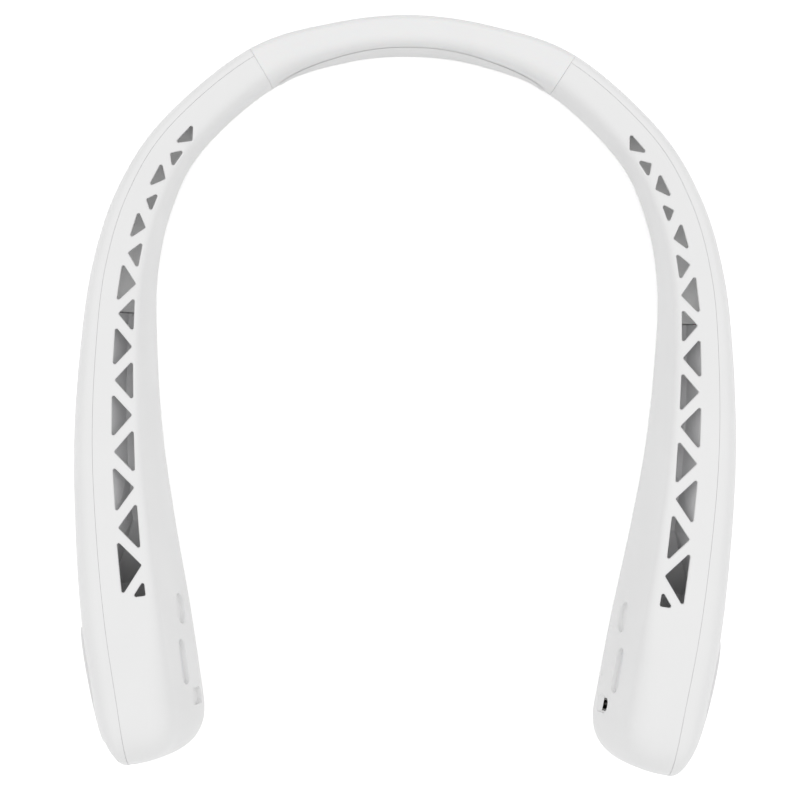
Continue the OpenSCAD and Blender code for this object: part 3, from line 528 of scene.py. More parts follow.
def loft(bm: bmesh.types.BMesh, rings: Sequence[Sequence[Vector]],
         closed: bool) -> list[list[bmesh.types.BMVert]]:
    """Draws the first ring and extrudes it from ring to ring.

    Args:
        bm: the mesh to draw in.
        rings: rings of equally many points.
        closed: whether each ring closes on itself.

    Returns:
        The vertices ring by ring.
    """
    column = bm.verts.layers.int.get("column") or bm.verts.layers.int.new("column")
    count = len(rings[0])
    first = [bm.verts.new(p) for p in rings[0]]
    for i, v in enumerate(first):
        v[column] = i
    edges = [bm.edges.new((first[i], first[(i + 1) % count])) for i in range(count if closed else count - 1)]
    grid = [first]
    for ring in rings[1:]:
        made = bmesh.ops.extrude_edge_only(bm, edges=edges)["geom"]
        row = sorted((g for g in made if isinstance(g, bmesh.types.BMVert)), key=lambda v: v[column])
        for v, p in zip(row, ring):
            v.co = p
        fresh = set(row)
        edges = [g for g in made if isinstance(g, bmesh.types.BMEdge) and fresh.issuperset(g.verts)]
        grid.append(row)
    return grid


def close_end(bm: bmesh.types.BMesh, row: Sequence[bmesh.types.BMVert]) -> None:
    """Fills a closed ring of vertices with one face.

    Args:
        bm: the mesh.
        row: the ring.
    """
    ring = set(row)
    edges = [e for e in bm.edges if e.is_boundary and ring.issuperset(e.verts)]
    bmesh.ops.contextual_create(bm, geom=edges)


def face_outwards(bm: bmesh.types.BMesh, row: Sequence[bmesh.types.BMVert]) -> None:
    """Turns an open skin so that its faces look away from its middle.

    Args:
        bm: the skin's mesh.
        row: one of its rings.
    """
    middle = sum((v.co for v in row), Vector()) / len(row)
    bm.normal_update()
    votes = sum((f.calc_center_median() - middle).dot(f.normal) for v in row for f in v.link_faces)
    if votes < 0:
        bmesh.ops.reverse_faces(bm, faces=bm.faces[:])


def piece(name: str, bm: bmesh.types.BMesh, finish: "Finish",
          place: Matrix | None = None) -> bpy.types.Object:
    """Makes an object of a mesh drawn in millimetres.

    Args:
        name: the piece's name.
        bm: the mesh, which is used up.
        finish: its finish.
        place: where it goes, as a matrix in millimetres.

    Returns:
        The object, at the origin and unturned, with its place in its mesh.
    """
    if place is not None:
        bmesh.ops.transform(bm, matrix=place, verts=bm.verts[:])
        if place.determinant() < 0:
            bmesh.ops.reverse_faces(bm, faces=bm.faces[:])
    bmesh.ops.scale(bm, vec=(MM, MM, MM), verts=bm.verts[:])
    mesh = bpy.data.meshes.new(name)
    bm.to_mesh(mesh)
    bm.free()
    obj = bpy.data.objects.new(name, mesh)
    bpy.context.scene.collection.objects.link(obj)
    mesh.materials.append(finish.material())
    smooth(mesh)
    return obj


def smooth(mesh: bpy.types.Mesh) -> None:
    """Shades a mesh smooth, apart from its sharp edges.

    Args:
        mesh: the mesh.
    """
    bm = bmesh.new()
    bm.from_mesh(mesh)
    for f in bm.faces:
        f.smooth = True
    for e in bm.edges:
        e.smooth = len(e.link_faces) == 2 and e.calc_face_angle(0.0) < SHARP_ANGLE
    bm.to_mesh(mesh)
    bm.free()


def settle(obj: bpy.types.Object) -> None:
    """Applies an object's modifiers to its mesh.

    Args:
        obj: the object.
    """
    evaluated = obj.evaluated_get(bpy.context.evaluated_depsgraph_get())
    mesh = bpy.data.meshes.new_from_object(evaluated)
    mesh.name = obj.data.name
    obj.modifiers.clear()
    obj.data = mesh


def carve(obj: bpy.types.Object, cutters: Sequence[bpy.types.Object]) -> None:
    """Cuts shapes out of an object and removes them.

    Args:
        obj: the object to cut.
        cutters: the shapes, which are deleted.
    """
    for cutter in cutters:
        cut = obj.modifiers.new("cut", "BOOLEAN")
        cut.operation, cut.solver, cut.object = "DIFFERENCE", "EXACT", cutter
    settle(obj)
    for cutter in cutters:
        bpy.data.objects.remove(cutter)
    smooth(obj.data)
    weigh = obj.modifiers.new("normals", "WEIGHTED_NORMAL")
    weigh.keep_sharp = True
    settle(obj)


def wall(obj: bpy.types.Object, thickness: float, edge: float) -> None:
    """Gives an open skin its wall, inwards, and eases the wall's edges.

    Args:
        obj: the skin.
        thickness: the wall in millimetres.
        edge: the rounding of its edges in millimetres.
    """
    solid = obj.modifiers.new("wall", "SOLIDIFY")
    solid.thickness, solid.offset, solid.use_even_offset = thickness * MM, -1, True
    ease = obj.modifiers.new("edge", "BEVEL")
    ease.width, ease.segments, ease.limit_method, ease.angle_limit = edge * MM, 2, "ANGLE", EASE_ANGLE
    settle(obj)
    smooth(obj.data)


def stadium(length: float, height: float, wider: float = 0.0, steps: int = 10) -> list[Point]:
    """Outline with round ends, long along the first axis or high along the second.

    Args:
        length, height: its full sizes.
        wider: how much is added all round.
        steps: steps of each quarter.

    Returns:
        The outline's points.
    """
    r = min(length, height) / 2
    a, b = length / 2 - r, height / 2 - r
    points = []
    for k, (x, y) in enumerate(((a, b), (-a, b), (-a, -b), (a, -b))):
        points += arc((x, y), (r + wider, r + wider), 90 * k, 90 * k + 90, steps, 2)
    return points


def eased(start: float, end: float, radius: float, steps: int = 4) -> list[tuple[float, float]]:
    """Profile of a recess with a rounded rim, as (depth, how much wider) from its floor to beyond its mouth.

    Args:
        start: place of the floor on the axis.
        end: place of the surface on the axis.
        radius: rounding of the rim; its sign gives the axis's direction.
        steps: steps of the rounding.

    Returns:
        The profile's rows.
    """
    r = abs(radius)
    rows = [(start, 0.0)]
    for i in range(steps + 1):
        a = RIM_TURN * i / steps
        rows.append((end - radius * (1 - math.sin(a)), r * (1 - math.cos(a))))
    rows.append((end + radius, r + math.tan(RIM_TURN) * r / 2))
    return rows


def slanted(lean: float) -> Matrix:
    """Matrix that moves points along X by a share of their height."""
    return Matrix(((1, 0, lean, 0), (0, 1, 0, 0), (0, 0, 1, 0), (0, 0, 0, 1)))


def drill(shape: Iterable[Sequence[Point]], depths: Iterable[float]) -> bmesh.types.BMesh:
    """A closed plug lofted along X.

    Args:
        shape: its outline at each depth, as (Y, Z) points.
        depths: the depths along X.

    Returns:
        The plug's mesh.
    """
    bm = bmesh.new()
    rings = [[Vector((x, y, z)) for y, z in points] for points, x in zip(shape, depths)]
    grid = loft(bm, rings, closed=True)
    close_end(bm, grid[0])
    close_end(bm, grid[-1])
    bmesh.ops.remove_doubles(bm, verts=bm.verts[:], dist=MERGE)
    bmesh.ops.recalc_face_normals(bm, faces=bm.faces[:])
    return bm


def turned(profile: Sequence[Point], steps: int) -> bmesh.types.BMesh:
    """A body spun about X.

    Args:
        profile: its outline as (X, radius) points.
        steps: steps of the full turn.

    Returns:
        The body's mesh.
    """
    bm = bmesh.new()
    verts = [bm.verts.new((x, 0, r)) for x, r in profile]
    edges = [bm.edges.new(pair) for pair in zip(verts, verts[1:])]
    bmesh.ops.spin(bm, geom=verts + edges, cent=(0, 0, 0), axis=(1, 0, 0), angle=2 * math.pi, steps=steps,
                   use_merge=True)
    bmesh.ops.remove_doubles(bm, verts=bm.verts[:], dist=MERGE)
    bmesh.ops.recalc_face_normals(bm, faces=bm.faces[:])
    return bm


# Finishes


def linear(code: str) -> tuple[float, float, float, float]:
    """An sRGB hex colour as Blender's linear one."""
    values = [int(code[i: i + 2], 16) / 255 for i in (1, 3, 5)]
    return (*(v / 12.92 if v <= 0.04045 else ((v + 0.055) / 1.055) ** 2.4 for v in values), 1.0)


def add_node(tree: bpy.types.NodeTree, kind: str, settings: dict[str, Any] | None = None,
             **inputs: Any) -> bpy.types.Node:
    """Adds a shader node.

    Args:
        tree: the material's node tree.
        kind: the node's type.
        settings: its properties by name.
        inputs: its sockets by name, with a value or the socket that feeds it. An underscore stands for a
            space.

    Returns:
        The node.
    """
    node = tree.nodes.new(kind)
    for name, value in (settings or {}).items():
        setattr(node, name, value)
    for name, value in inputs.items():
        socket = node.inputs[name.replace("_", " ")]
        if isinstance(value, bpy.types.NodeSocket):
            tree.links.new(value, socket)
        else:
            socket.default_value = value
    return node


@dataclass(frozen=True)
class Finish:
    """A surface: its colour, how it scatters light, and the fine grain that its making left.

    Sizes are in millimetres. The grain's noise is scaled from its real spacing; mottle is the slow change of
    colour and gloss that handling and moulding leave. Glow is painted light: an emission that stands in for
    light coming through a thin wall behind the surface; it grows between two places along Y.
    """

    name: str
    colour: str
    shade: str
    roughness: float
    grain: float
    grain_depth: float
    mottle: float = 18.0
    roughness_change: float = 0.06
    metallic: float = 0.0
    ior: float = 1.5
    coat: float = 0.0
    sheen: float = 0.0
    subsurface: float = 0.0
    stretch: tuple[float, float, float] = (1.0, 1.0, 1.0)
    scatter: float = 1.5
    glow: float = 0.0
    glow_from: float = 0.0
    glow_to: float = 1.0

    def material(self) -> bpy.types.Material:
        """The finish as a material, made once."""
        return bpy.data.materials.get(self.name) or self.made()

    def made(self) -> bpy.types.Material:
        """Builds the material's nodes.

        Returns:
            The material.
        """
        material = bpy.data.materials.new(self.name)
        material.use_nodes = True
        tree = material.node_tree
        tree.nodes.clear()
        place = add_node(tree, "ShaderNodeTexCoord").outputs["Object"]
        run = add_node(tree, "ShaderNodeMapping", Vector=place, Scale=self.stretch).outputs["Vector"]
        slow = add_node(tree, "ShaderNodeTexNoise", Vector=place, Scale=1 / (self.mottle * MM), Detail=3.0)
        fine = add_node(tree, "ShaderNodeTexNoise", Vector=run, Scale=1 / (self.grain * MM), Detail=2.0,
                        Roughness=0.55)
        colour = add_node(tree, "ShaderNodeMix", {"data_type": "RGBA"}, Factor=slow.outputs["Fac"],
                          A=linear(self.colour), B=linear(self.shade))
        gloss = add_node(tree, "ShaderNodeMapRange", Value=slow.outputs["Fac"],
                         To_Min=self.roughness - self.roughness_change,
                         To_Max=self.roughness + self.roughness_change)
        bump = add_node(tree, "ShaderNodeBump", Height=fine.outputs["Fac"], Distance=self.grain_depth * MM,
                        Strength=1.0)
        surface = add_node(tree, "ShaderNodeBsdfPrincipled", Base_Color=colour.outputs["Result"],
                           Roughness=gloss.outputs["Result"], Metallic=self.metallic, IOR=self.ior,
                           Normal=bump.outputs["Normal"])
        surface.inputs["Coat Weight"].default_value = self.coat
        surface.inputs["Sheen Weight"].default_value = self.sheen
        surface.inputs["Subsurface Weight"].default_value = self.subsurface
        surface.inputs["Subsurface Scale"].default_value = self.scatter * MM
        # Painted light: an emission in the surface's own colour that rises along Y.
        if self.glow:
            along_y = add_node(tree, "ShaderNodeSeparateXYZ", Vector=place).outputs["Y"]
            light = add_node(tree, "ShaderNodeMapRange", Value=along_y, From_Min=self.glow_from * MM,
                             From_Max=self.glow_to * MM, To_Min=0.0, To_Max=self.glow)
            surface.inputs["Emission Color"].default_value = linear(self.colour)
            tree.links.new(light.outputs["Result"], surface.inputs["Emission Strength"])
        add_node(tree, "ShaderNodeOutputMaterial", Surface=surface.outputs["BSDF"])
        return material


# White ABS, injection moulded against a finely spark-eroded tool: an even satin skin. The real grain is
# about 0.1 mm and too fine to show, so it is drawn at 0.45 mm.
SATIN_ABS = Finish("satin_abs_moulded", "#E9E9E9", "#E6E6E6", 0.46, grain=0.45, grain_depth=0.006)
# The same ABS from a polished tool, for the grille and the button: a little glossier.
SMOOTH_ABS = Finish("smooth_abs_moulded", "#E9E9E9", "#E6E6E6", 0.34, grain=0.6, grain_depth=0.003)
# White silicone over the neckband, compression moulded: matt, with a faint bloom of scattered light.
SILICONE = Finish("matt_silicone", "#EBEBEB", "#E8E8E8", 0.62, grain=0.35, grain_depth=0.005, ior=1.41,
                  sheen=0.5, subsurface=0.05)
# Softer foamed silicone of the pad that lies on the neck, with visible pores.
FOAMED_SILICONE = Finish("foamed_silicone", "#EDEDED", "#E9E9E9", 0.7, grain=0.7, grain_depth=0.03,
                         ior=1.41, sheen=0.6)
# Light grey ABS of the fan's housing, moulded without a texture: flow marks give it a slow change of gloss.
HOUSING_ABS = Finish("plain_abs_housing", "#D3D4D6", "#CBCCCE", 0.4, grain=1.2, grain_depth=0.004, mottle=12)
# The same ABS, a little lighter, of the air duct's liner.
LINER_ABS = Finish("plain_abs_liner", "#DBDBDC", "#D5D5D6", 0.45, grain=1.2, grain_depth=0.004, mottle=12)
# A lighter copy of the liner's ABS under the first outlets, with a faint emission: painted light that stands
# in for daylight coming through the thin shell.
PAINTED_LIGHT_LINER_ABS = Finish("liner_abs_painted_light", "#F1F1F1", "#EDEDED", 0.45, grain=1.2, grain_depth=0.004, mottle=12,
                    glow=0.04, glow_from=14.0, glow_to=42.0)
# Polypropylene impeller: slightly waxy.
ROTOR_PP = Finish("polypropylene_rotor", "#CACBCD", "#C2C3C5", 0.38, grain=0.9, grain_depth=0.003,
                  subsurface=0.05)
# Polycarbonate of the light window, frosted until it scatters all light: a milky, faintly glossy pane.
WINDOW_PC = Finish("frosted_polycarbonate", "#E2E2E3", "#DEDEDF", 0.3, grain=0.8, grain_depth=0.002,
                   ior=1.58, subsurface=0.05)
# Bright zinc-plated steel of screws, cup and shaft, with the fine lines of turning.
ZINC_STEEL = Finish("zinc_plated_steel", "#C3C4C8", "#B4B6BA", 0.3, grain=0.25, grain_depth=0.004, mottle=4,
                    metallic=1.0, stretch=(1.0, 1.0, 8.0))
# Spring steel strip, rolled: grain along its length.
SPRING_STEEL = Finish("rolled_spring_steel", "#AEB0B4", "#9C9EA3", 0.34, grain=0.5, grain_depth=0.004,
                      mottle=8, metallic=1.0, stretch=(0.1, 1.0, 1.0))
# Drawn nickel-plated steel of the charging socket, smooth; its colour is darkened as painted shade for
# the shadowed inside of the port.
PAINTED_SHADE_NICKEL = Finish("nickel_steel_painted_shade", "#5F5E5B", "#565552", 0.3, grain=0.5, grain_depth=0.002, mottle=3,
                metallic=1.0)
# Ferrite magnet, pressed and sintered: dark and faintly granular.
FERRITE = Finish("sintered_ferrite", "#3C3C3F", "#2F2F32", 0.6, grain=0.3, grain_depth=0.02, mottle=3)
# Oil-filled sintered bronze of the bush: porous.
BRONZE = Finish("sintered_bronze", "#B58A52", "#9A7343", 0.45, grain=0.3, grain_depth=0.02, mottle=2,
                metallic=1.0)
# Enamelled copper wire wound on the stator's poles: ridges as thick as the wire, 0.3 mm.
COPPER_WIRE = Finish("enamelled_copper_winding", "#B4622F", "#8F4A22", 0.3, grain=0.3, grain_depth=0.05,
                     mottle=2, metallic=1.0, coat=0.4, stretch=(6.0, 1.0, 1.0))
# Green solder mask over a woven glass board: the weave and the tracks show as a slight relief.
SOLDER_MASK = Finish("green_solder_mask", "#2D6A41", "#245635", 0.28, grain=0.8, grain_depth=0.01,
                     mottle=2.5, coat=0.3)
# PVC shrink sleeve round the lithium cell: glossy with small wrinkles.
SHRINK_WRAP = Finish("pvc_shrink_wrap", "#4478AC", "#3B6B9C", 0.25, grain=3.0, grain_depth=0.04, mottle=6)
# Black PBT of the switch and the clamp: glass-filled, so slightly rough.
BLACK_PBT = Finish("glass_filled_pbt", "#333436", "#28292B", 0.5, grain=0.4, grain_depth=0.01, mottle=4)
# Red silicone insulation of the wires.
WIRE_SKIN = Finish("red_silicone_insulation", "#B8332F", "#A32B28", 0.5, grain=0.5, grain_depth=0.006,
                   mottle=5)
# Gold-plated contacts in the charging socket.
GOLD_PLATE = Finish("gold_plated_contact", "#E3BE6B", "#D6AF58", 0.22, grain=0.3, grain_depth=0.001, mottle=1,
                    metallic=1.0)


# Sub-assemblies


@dataclass
class Arm:
    """One stiff arm: its two moulded shells, its grille and its controls. Sizes are in millimetres."""

    side: Side
    form: ArmForm
    outlets: OutletRow
    wall: float = 1.8
    seam_gap: float = 0.06
    seam_edge: float = 0.14
    ring_spacing: float = 1.1
    tip_rings: int = 34
    tip_spacing_power: float = 2.5
    rim: float = 0.45
    hole_rim: float = 0.1
    through: float = 8.0
    slant_reach: float = 1.5
    flange: float = 0.8
    flange_thickness: float = 0.6
    button_radius: float = 3.6
    button_fit: float = 0.1
    button_edge: float = 0.15
    edge_turns: tuple[int, ...] = (60, 30, 0)
    button_hollow: float = 0.16
    button_steps: int = 72
    hollow_steps: int = 8
    stem_radius: float = 1.5
    dish_radius: float = 4.3
    dish_depth: float = 1.3
    back_depth: float = 1.95
    window_length: float = 13.0
    window_height: float = 5.6
    window_sink: float = 1.45
    window_fit: float = 0.01
    window_edge: tuple[Point, ...] = ((0.0, -0.12), (0.08, -0.04), (0.2, 0.0))
    port_height: float = 9.0
    port_width: float = 3.2
    port_recess: float = 0.8
    port_scoop: float = 0.13
    port_fit: float = 0.2
    blind_depth: float = 1.35
    pinhole_radius: float = 0.35
    board_station: float = 9.5
    board_face: float = -8.037
    switch_height: float = 1.6
    plunger_out: float = 0.7
    button_at: Point = (12.699, 36.68)
    window_at: Point = (-2.4, 40.488)
    port_at: Point = (-12.988, 32.2)
    pinholes: tuple[Point, ...] = ((9.2, 26.6), (-5.2, 25.2))
    fan_station: float = 9.7
    fan_yaw: float = -2.5
    cover_radius: float = 17.0
    cover_seat: float = 1.0
    seat_rim: tuple[Point, ...] = ((-0.25, 0.0), (0.0, 0.12), (0.6, 0.7))
    intake_radius: float = 14.6
    intake_over: float = 1.0

    @property
    def body(self) -> str:
        """The body that the arm's fixed pieces ride on."""
        return f"{self.side.word}_arm"

    @property
    def mirror(self) -> Matrix:
        """Mirrors the right arm's place into this side's."""
        return Matrix.Scale(self.side.value, 4, (1, 0, 0))

    def at_board(self, across: float, up: float) -> Matrix:
        """Frame of a control: X outwards into the head, Y along the arm towards the neckband."""
        return self.mirror @ self.form.place(self.board_station) @ Matrix.Translation((0, across, up))

    def on_face(self, across: float, up: float) -> Matrix:
        """Frame of a control, slanted along X so that its flat shapes lie parallel to the inner face."""
        return self.at_board(across, up) @ self.slant(up)

    def hollow(self, r: float) -> float:
        """Depth of the button's slightly hollow face at a radius."""
        return self.dish_depth + self.button_hollow * (1 - (r / self.button_radius) ** 2)

    def slant(self, up: float) -> Matrix:
        """Slant along X that follows the inner face's lean.

        Args:
            up: the height above the table at which the lean is taken.

        Returns:
            The slant as a matrix.
        """
        reach, s = self.slant_reach, self.board_station
        lean = (self.form.face_u(s, up + reach) - self.form.face_u(s, up - reach)) / (2 * reach)
        return slanted(lean)

    def at_fan(self) -> Matrix:
        """Frame on the fan's axis: X out of the head, 0 on its outer face."""
        place = self.form.place(self.fan_station, 0, self.form.head_height / 2, self.fan_yaw)
        return self.mirror @ place @ Matrix.Translation((self.form.thick(self.fan_station) / 2, 0, 0))

    def stations(self) -> list[float]:
        """Stations of the rings, from the neckband's end to the closed end of the head.

        Returns:
            The stations, which lie closer together towards the closed end.
        """
        lengths, first = self.form.lengths(), self.form.seam
        span = lengths[-1][0] - lengths[round(first / self.form.length_step)][0]
        steps = round(span / self.ring_spacing)
        rings = [first + (self.form.end - first) * i / steps for i in range(steps + 1)]
        left = [1 - i / self.tip_rings for i in range(1, self.tip_rings)]
        return rings + [self.form.end + 1 - share**self.tip_spacing_power for share in left]

    def skin(self, name: str, first: int, count: int, gap: float) -> bpy.types.Object:
        """One shell as a wall: a run of the arm's outline, lofted from ring to ring and closed at the pole.

        Args:
            name: the piece's name.
            first: number of its first outline point.
            count: number of its outline points.
            gap: how much it is held back at the parting lines.

        Returns:
            The shell, still without its openings.
        """
        rings = []
        for q in self.stations():
            ring = self.form.ring(q, self.side, gap)
            run = [ring[(first + i) % len(ring)] for i in range(count)]
            if gap:
                for end, inner in ((0, 1), (-1, -2)):
                    step = run[inner] - run[end]
                    run[end] = run[end] + step.normalized() * min(gap, step.length / 2)
            rings.append(run)
        bm = bmesh.new()
        grid = loft(bm, rings, closed=False)
        edges = [e for e in bm.edges if set(grid[-1]).issuperset(e.verts)]
        made = bmesh.ops.extrude_edge_only(bm, edges=edges)["geom"]
        tip = [g for g in made if isinstance(g, bmesh.types.BMVert)]
        bmesh.ops.pointmerge(bm, verts=tip, merge_co=self.form.pole(self.side, gap))
        face_outwards(bm, grid[len(grid) // 2])
        obj = piece(name, bm, SATIN_ABS)
        wall(obj, self.wall, self.seam_edge)
        return obj

    def outlet_cutters(self) -> list[bpy.types.Object]:
        """Plugs that cut the outlets. Their ends are flat, and their rounded rims follow the skin.

        Returns:
            The plugs.
        """
        rows = self.outlets
        cutters = []
        for j in range(1, rows.count + 2):
            bm = bmesh.new()
            rings = []
            profile = eased(-rows.depth, 0.0, rows.rim)
            for depth, wider in profile + [(rows.over, profile[-1][1])]:
                flat = depth in (-rows.depth, rows.over)
                ring = []
                for length, u in rows.shape(j, wider):
                    s = self.form.station(length)
                    surface = self.form.top(s) if flat else self.form.skin_z(s, u)
                    p = self.form.spot(s, u, surface + depth)
                    ring.append(Vector((p.x * self.side.value, p.y, p.z)))
                rings.append(ring)
            grid = loft(bm, rings, closed=True)
            close_end(bm, grid[0])
            close_end(bm, grid[-1])
            bmesh.ops.recalc_face_normals(bm, faces=bm.faces[:])
            cutters.append(piece(f"cut_outlet_{j}", bm, SATIN_ABS))
        return cutters

    def recess(self, at: Point, length: float, height: float, floor: float, face: float,
               rim: float = 0.3, scoop: float = 0.0) -> bpy.types.Object:
        """Plug that cuts an oblong recess into the inner face.

        Args:
            at: its place on the control board's frame.
            length, height: its sizes along the arm and upwards.
            floor: place of its floor, outwards from the centre line.
            face: place of the inner face there.
            rim: rounding of its rim.
            scoop: how much more its floor slants than the inner face.

        Returns:
            The plug.
        """
        rows = eased(floor, face, -rim)
        bm = drill([stadium(length, height, wider) for _, wider in rows], [x for x, _ in rows])
        bmesh.ops.transform(bm, matrix=slanted(scoop), verts=[v for v in bm.verts if v.co.x > floor - LEVEL])
        return piece("cut_recess", bm, SATIN_ABS, self.on_face(*at))

    def port_cutters(self) -> list[bpy.types.Object]:
        """Plugs of the charging socket and the pinholes in the right head, or of the left head's blind notch.

        Returns:
            The plugs.
        """
        form, right = self.form, self.side is Side.RIGHT
        face = form.face_u(form.end, self.port_at[1])
        width, height = self.port_width + 2 * self.port_recess, self.port_height + 2 * self.port_recess
        depth, scoop = (self.port_recess, self.port_scoop) if right else (self.blind_depth, 0.0)
        cutters = [self.recess(self.port_at, width, height, face + depth, face, scoop=scoop)]
        if right:
            width, height = self.port_width + 2 * self.port_fit, self.port_height + 2 * self.port_fit
            cutters.append(self.recess(self.port_at, width, height, face + self.through,
                                       face + self.port_recess, self.hole_rim))
            hole = 2 * self.pinhole_radius
            for at in self.pinholes:
                face = form.face_u(self.board_station, at[1])
                cutters.append(self.recess(at, hole, hole, face + self.through, face, self.hole_rim))
        return cutters

    def inner_shell(self) -> bpy.types.Object:
        """The inner shell with its outlets, dish, window, port and pinholes.

        Returns:
            The shell.
        """
        obj = self.skin(f"{self.side.word}_inner_shell_moulding", 0, self.form.inner_count, 0.0)
        cutters = self.outlet_cutters()
        face = self.form.face_u(self.board_station, self.button_at[1])
        dish, hole = 2 * self.dish_radius, 2 * self.button_radius + self.button_fit
        floor = face + self.dish_depth
        cutters.append(self.recess(self.button_at, dish, dish, floor, face, self.rim))
        cutters.append(self.recess(self.button_at, hole, hole, face + self.through, floor, self.hole_rim))
        face = self.form.face_u(self.board_station, self.window_at[1])
        fit = 2 * self.window_fit
        cutters.append(self.recess(self.window_at, self.window_length + fit, self.window_height + fit,
                                   face + self.through, face, self.rim))
        cutters += self.port_cutters()
        carve(obj, cutters)
        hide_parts(f"{self.side.word}_inner_shell")
        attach(obj, self.body)
        return obj

    def outer_shell(self) -> bpy.types.Object:
        """The outer shell with the seat and the opening of its grille.

        Returns:
            The shell.
        """
        count = self.form.outer_steps + 1
        obj = self.skin(f"{self.side.word}_outer_shell_moulding", self.form.inner_count - 1, count,
                        self.seam_gap)
        seat = self.cover_radius + self.button_fit
        inside = self.form.head_width / 2
        rim = [(x, seat + wider) for x, wider in self.seat_rim]
        ring = turned([(-self.cover_seat, 0.0), (-self.cover_seat, seat), *rim, (inside, rim[-1][1]),
                       (inside, 0.0)], ROUND_STEPS)
        r, over = self.intake_radius, self.intake_over
        hole = turned([(-inside, 0.0), (-inside, r), (over, r), (over, 0.0)], ROUND_STEPS)
        carve(obj, [piece("cut_seat", ring, SATIN_ABS, self.at_fan()),
                    piece("cut_intake", hole, SATIN_ABS, self.at_fan())])
        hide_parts(f"{self.side.word}_outer_shell")
        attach(obj, self.body)
        return obj

    def button(self) -> bpy.types.Object:
        """The push button: a cap with a rounded edge and a slightly hollow face, on its flange and stem.

        Returns:
            The button.
        """
        node = f"{self.side.word}_push_button"
        r, flange, stem = self.button_radius, self.button_radius + self.flange, self.stem_radius
        face, ease = self.form.face_u(self.board_station, self.button_at[1]), self.button_edge
        seat = face + self.back_depth
        back = seat + self.flange_thickness
        rim, steps = r - ease, self.hollow_steps
        hollow = [(face + self.hollow(rim * i / steps), rim * i / steps) for i in range(steps + 1)]
        edge = [(hollow[-1][0] + ease * (1 - math.sin(a)), rim + ease * math.cos(a))
                for a in map(math.radians, self.edge_turns)]
        profile = [*hollow, *edge, (seat, r), (seat, flange), (back, flange), (back, stem),
                   (self.stem_end(), stem), (self.stem_end(), 0.0)]
        bm = turned(profile, self.button_steps)
        front = [v for v in bm.verts if v.co.x < back + self.button_fit]
        bmesh.ops.transform(bm, matrix=self.slant(self.button_at[1]), verts=front)
        obj = piece(f"{self.side.word}_button_cap", bm, SMOOTH_ABS, self.at_board(*self.button_at))
        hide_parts(node)
        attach(obj, f"{self.side.word}_button")
        return obj

    def stem_end(self) -> float:
        """Where the button's stem ends, on its switch's plunger."""
        return self.board_face - self.switch_height - self.plunger_out

    def window(self) -> bpy.types.Object:
        """The indicator window: a pane with an eased edge, on its flange.

        Returns:
            The window.
        """
        face = self.form.face_u(self.board_station, self.window_at[1]) + self.window_sink
        back = face + (self.back_depth - self.window_sink)
        rows = [(face + deep, wider) for deep, wider in self.window_edge]
        rows += [(back, 0.0), (back, self.flange), (back + self.flange_thickness, self.flange)]
        bm = drill([stadium(self.window_length, self.window_height, wider) for _, wider in rows],
                   [x for x, _ in rows])
        obj = piece(f"{self.side.word}_light_window", bm, WINDOW_PC, self.on_face(*self.window_at))
        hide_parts(f"{self.side.word}_indicator_window")
        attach(obj, self.body)
        return obj


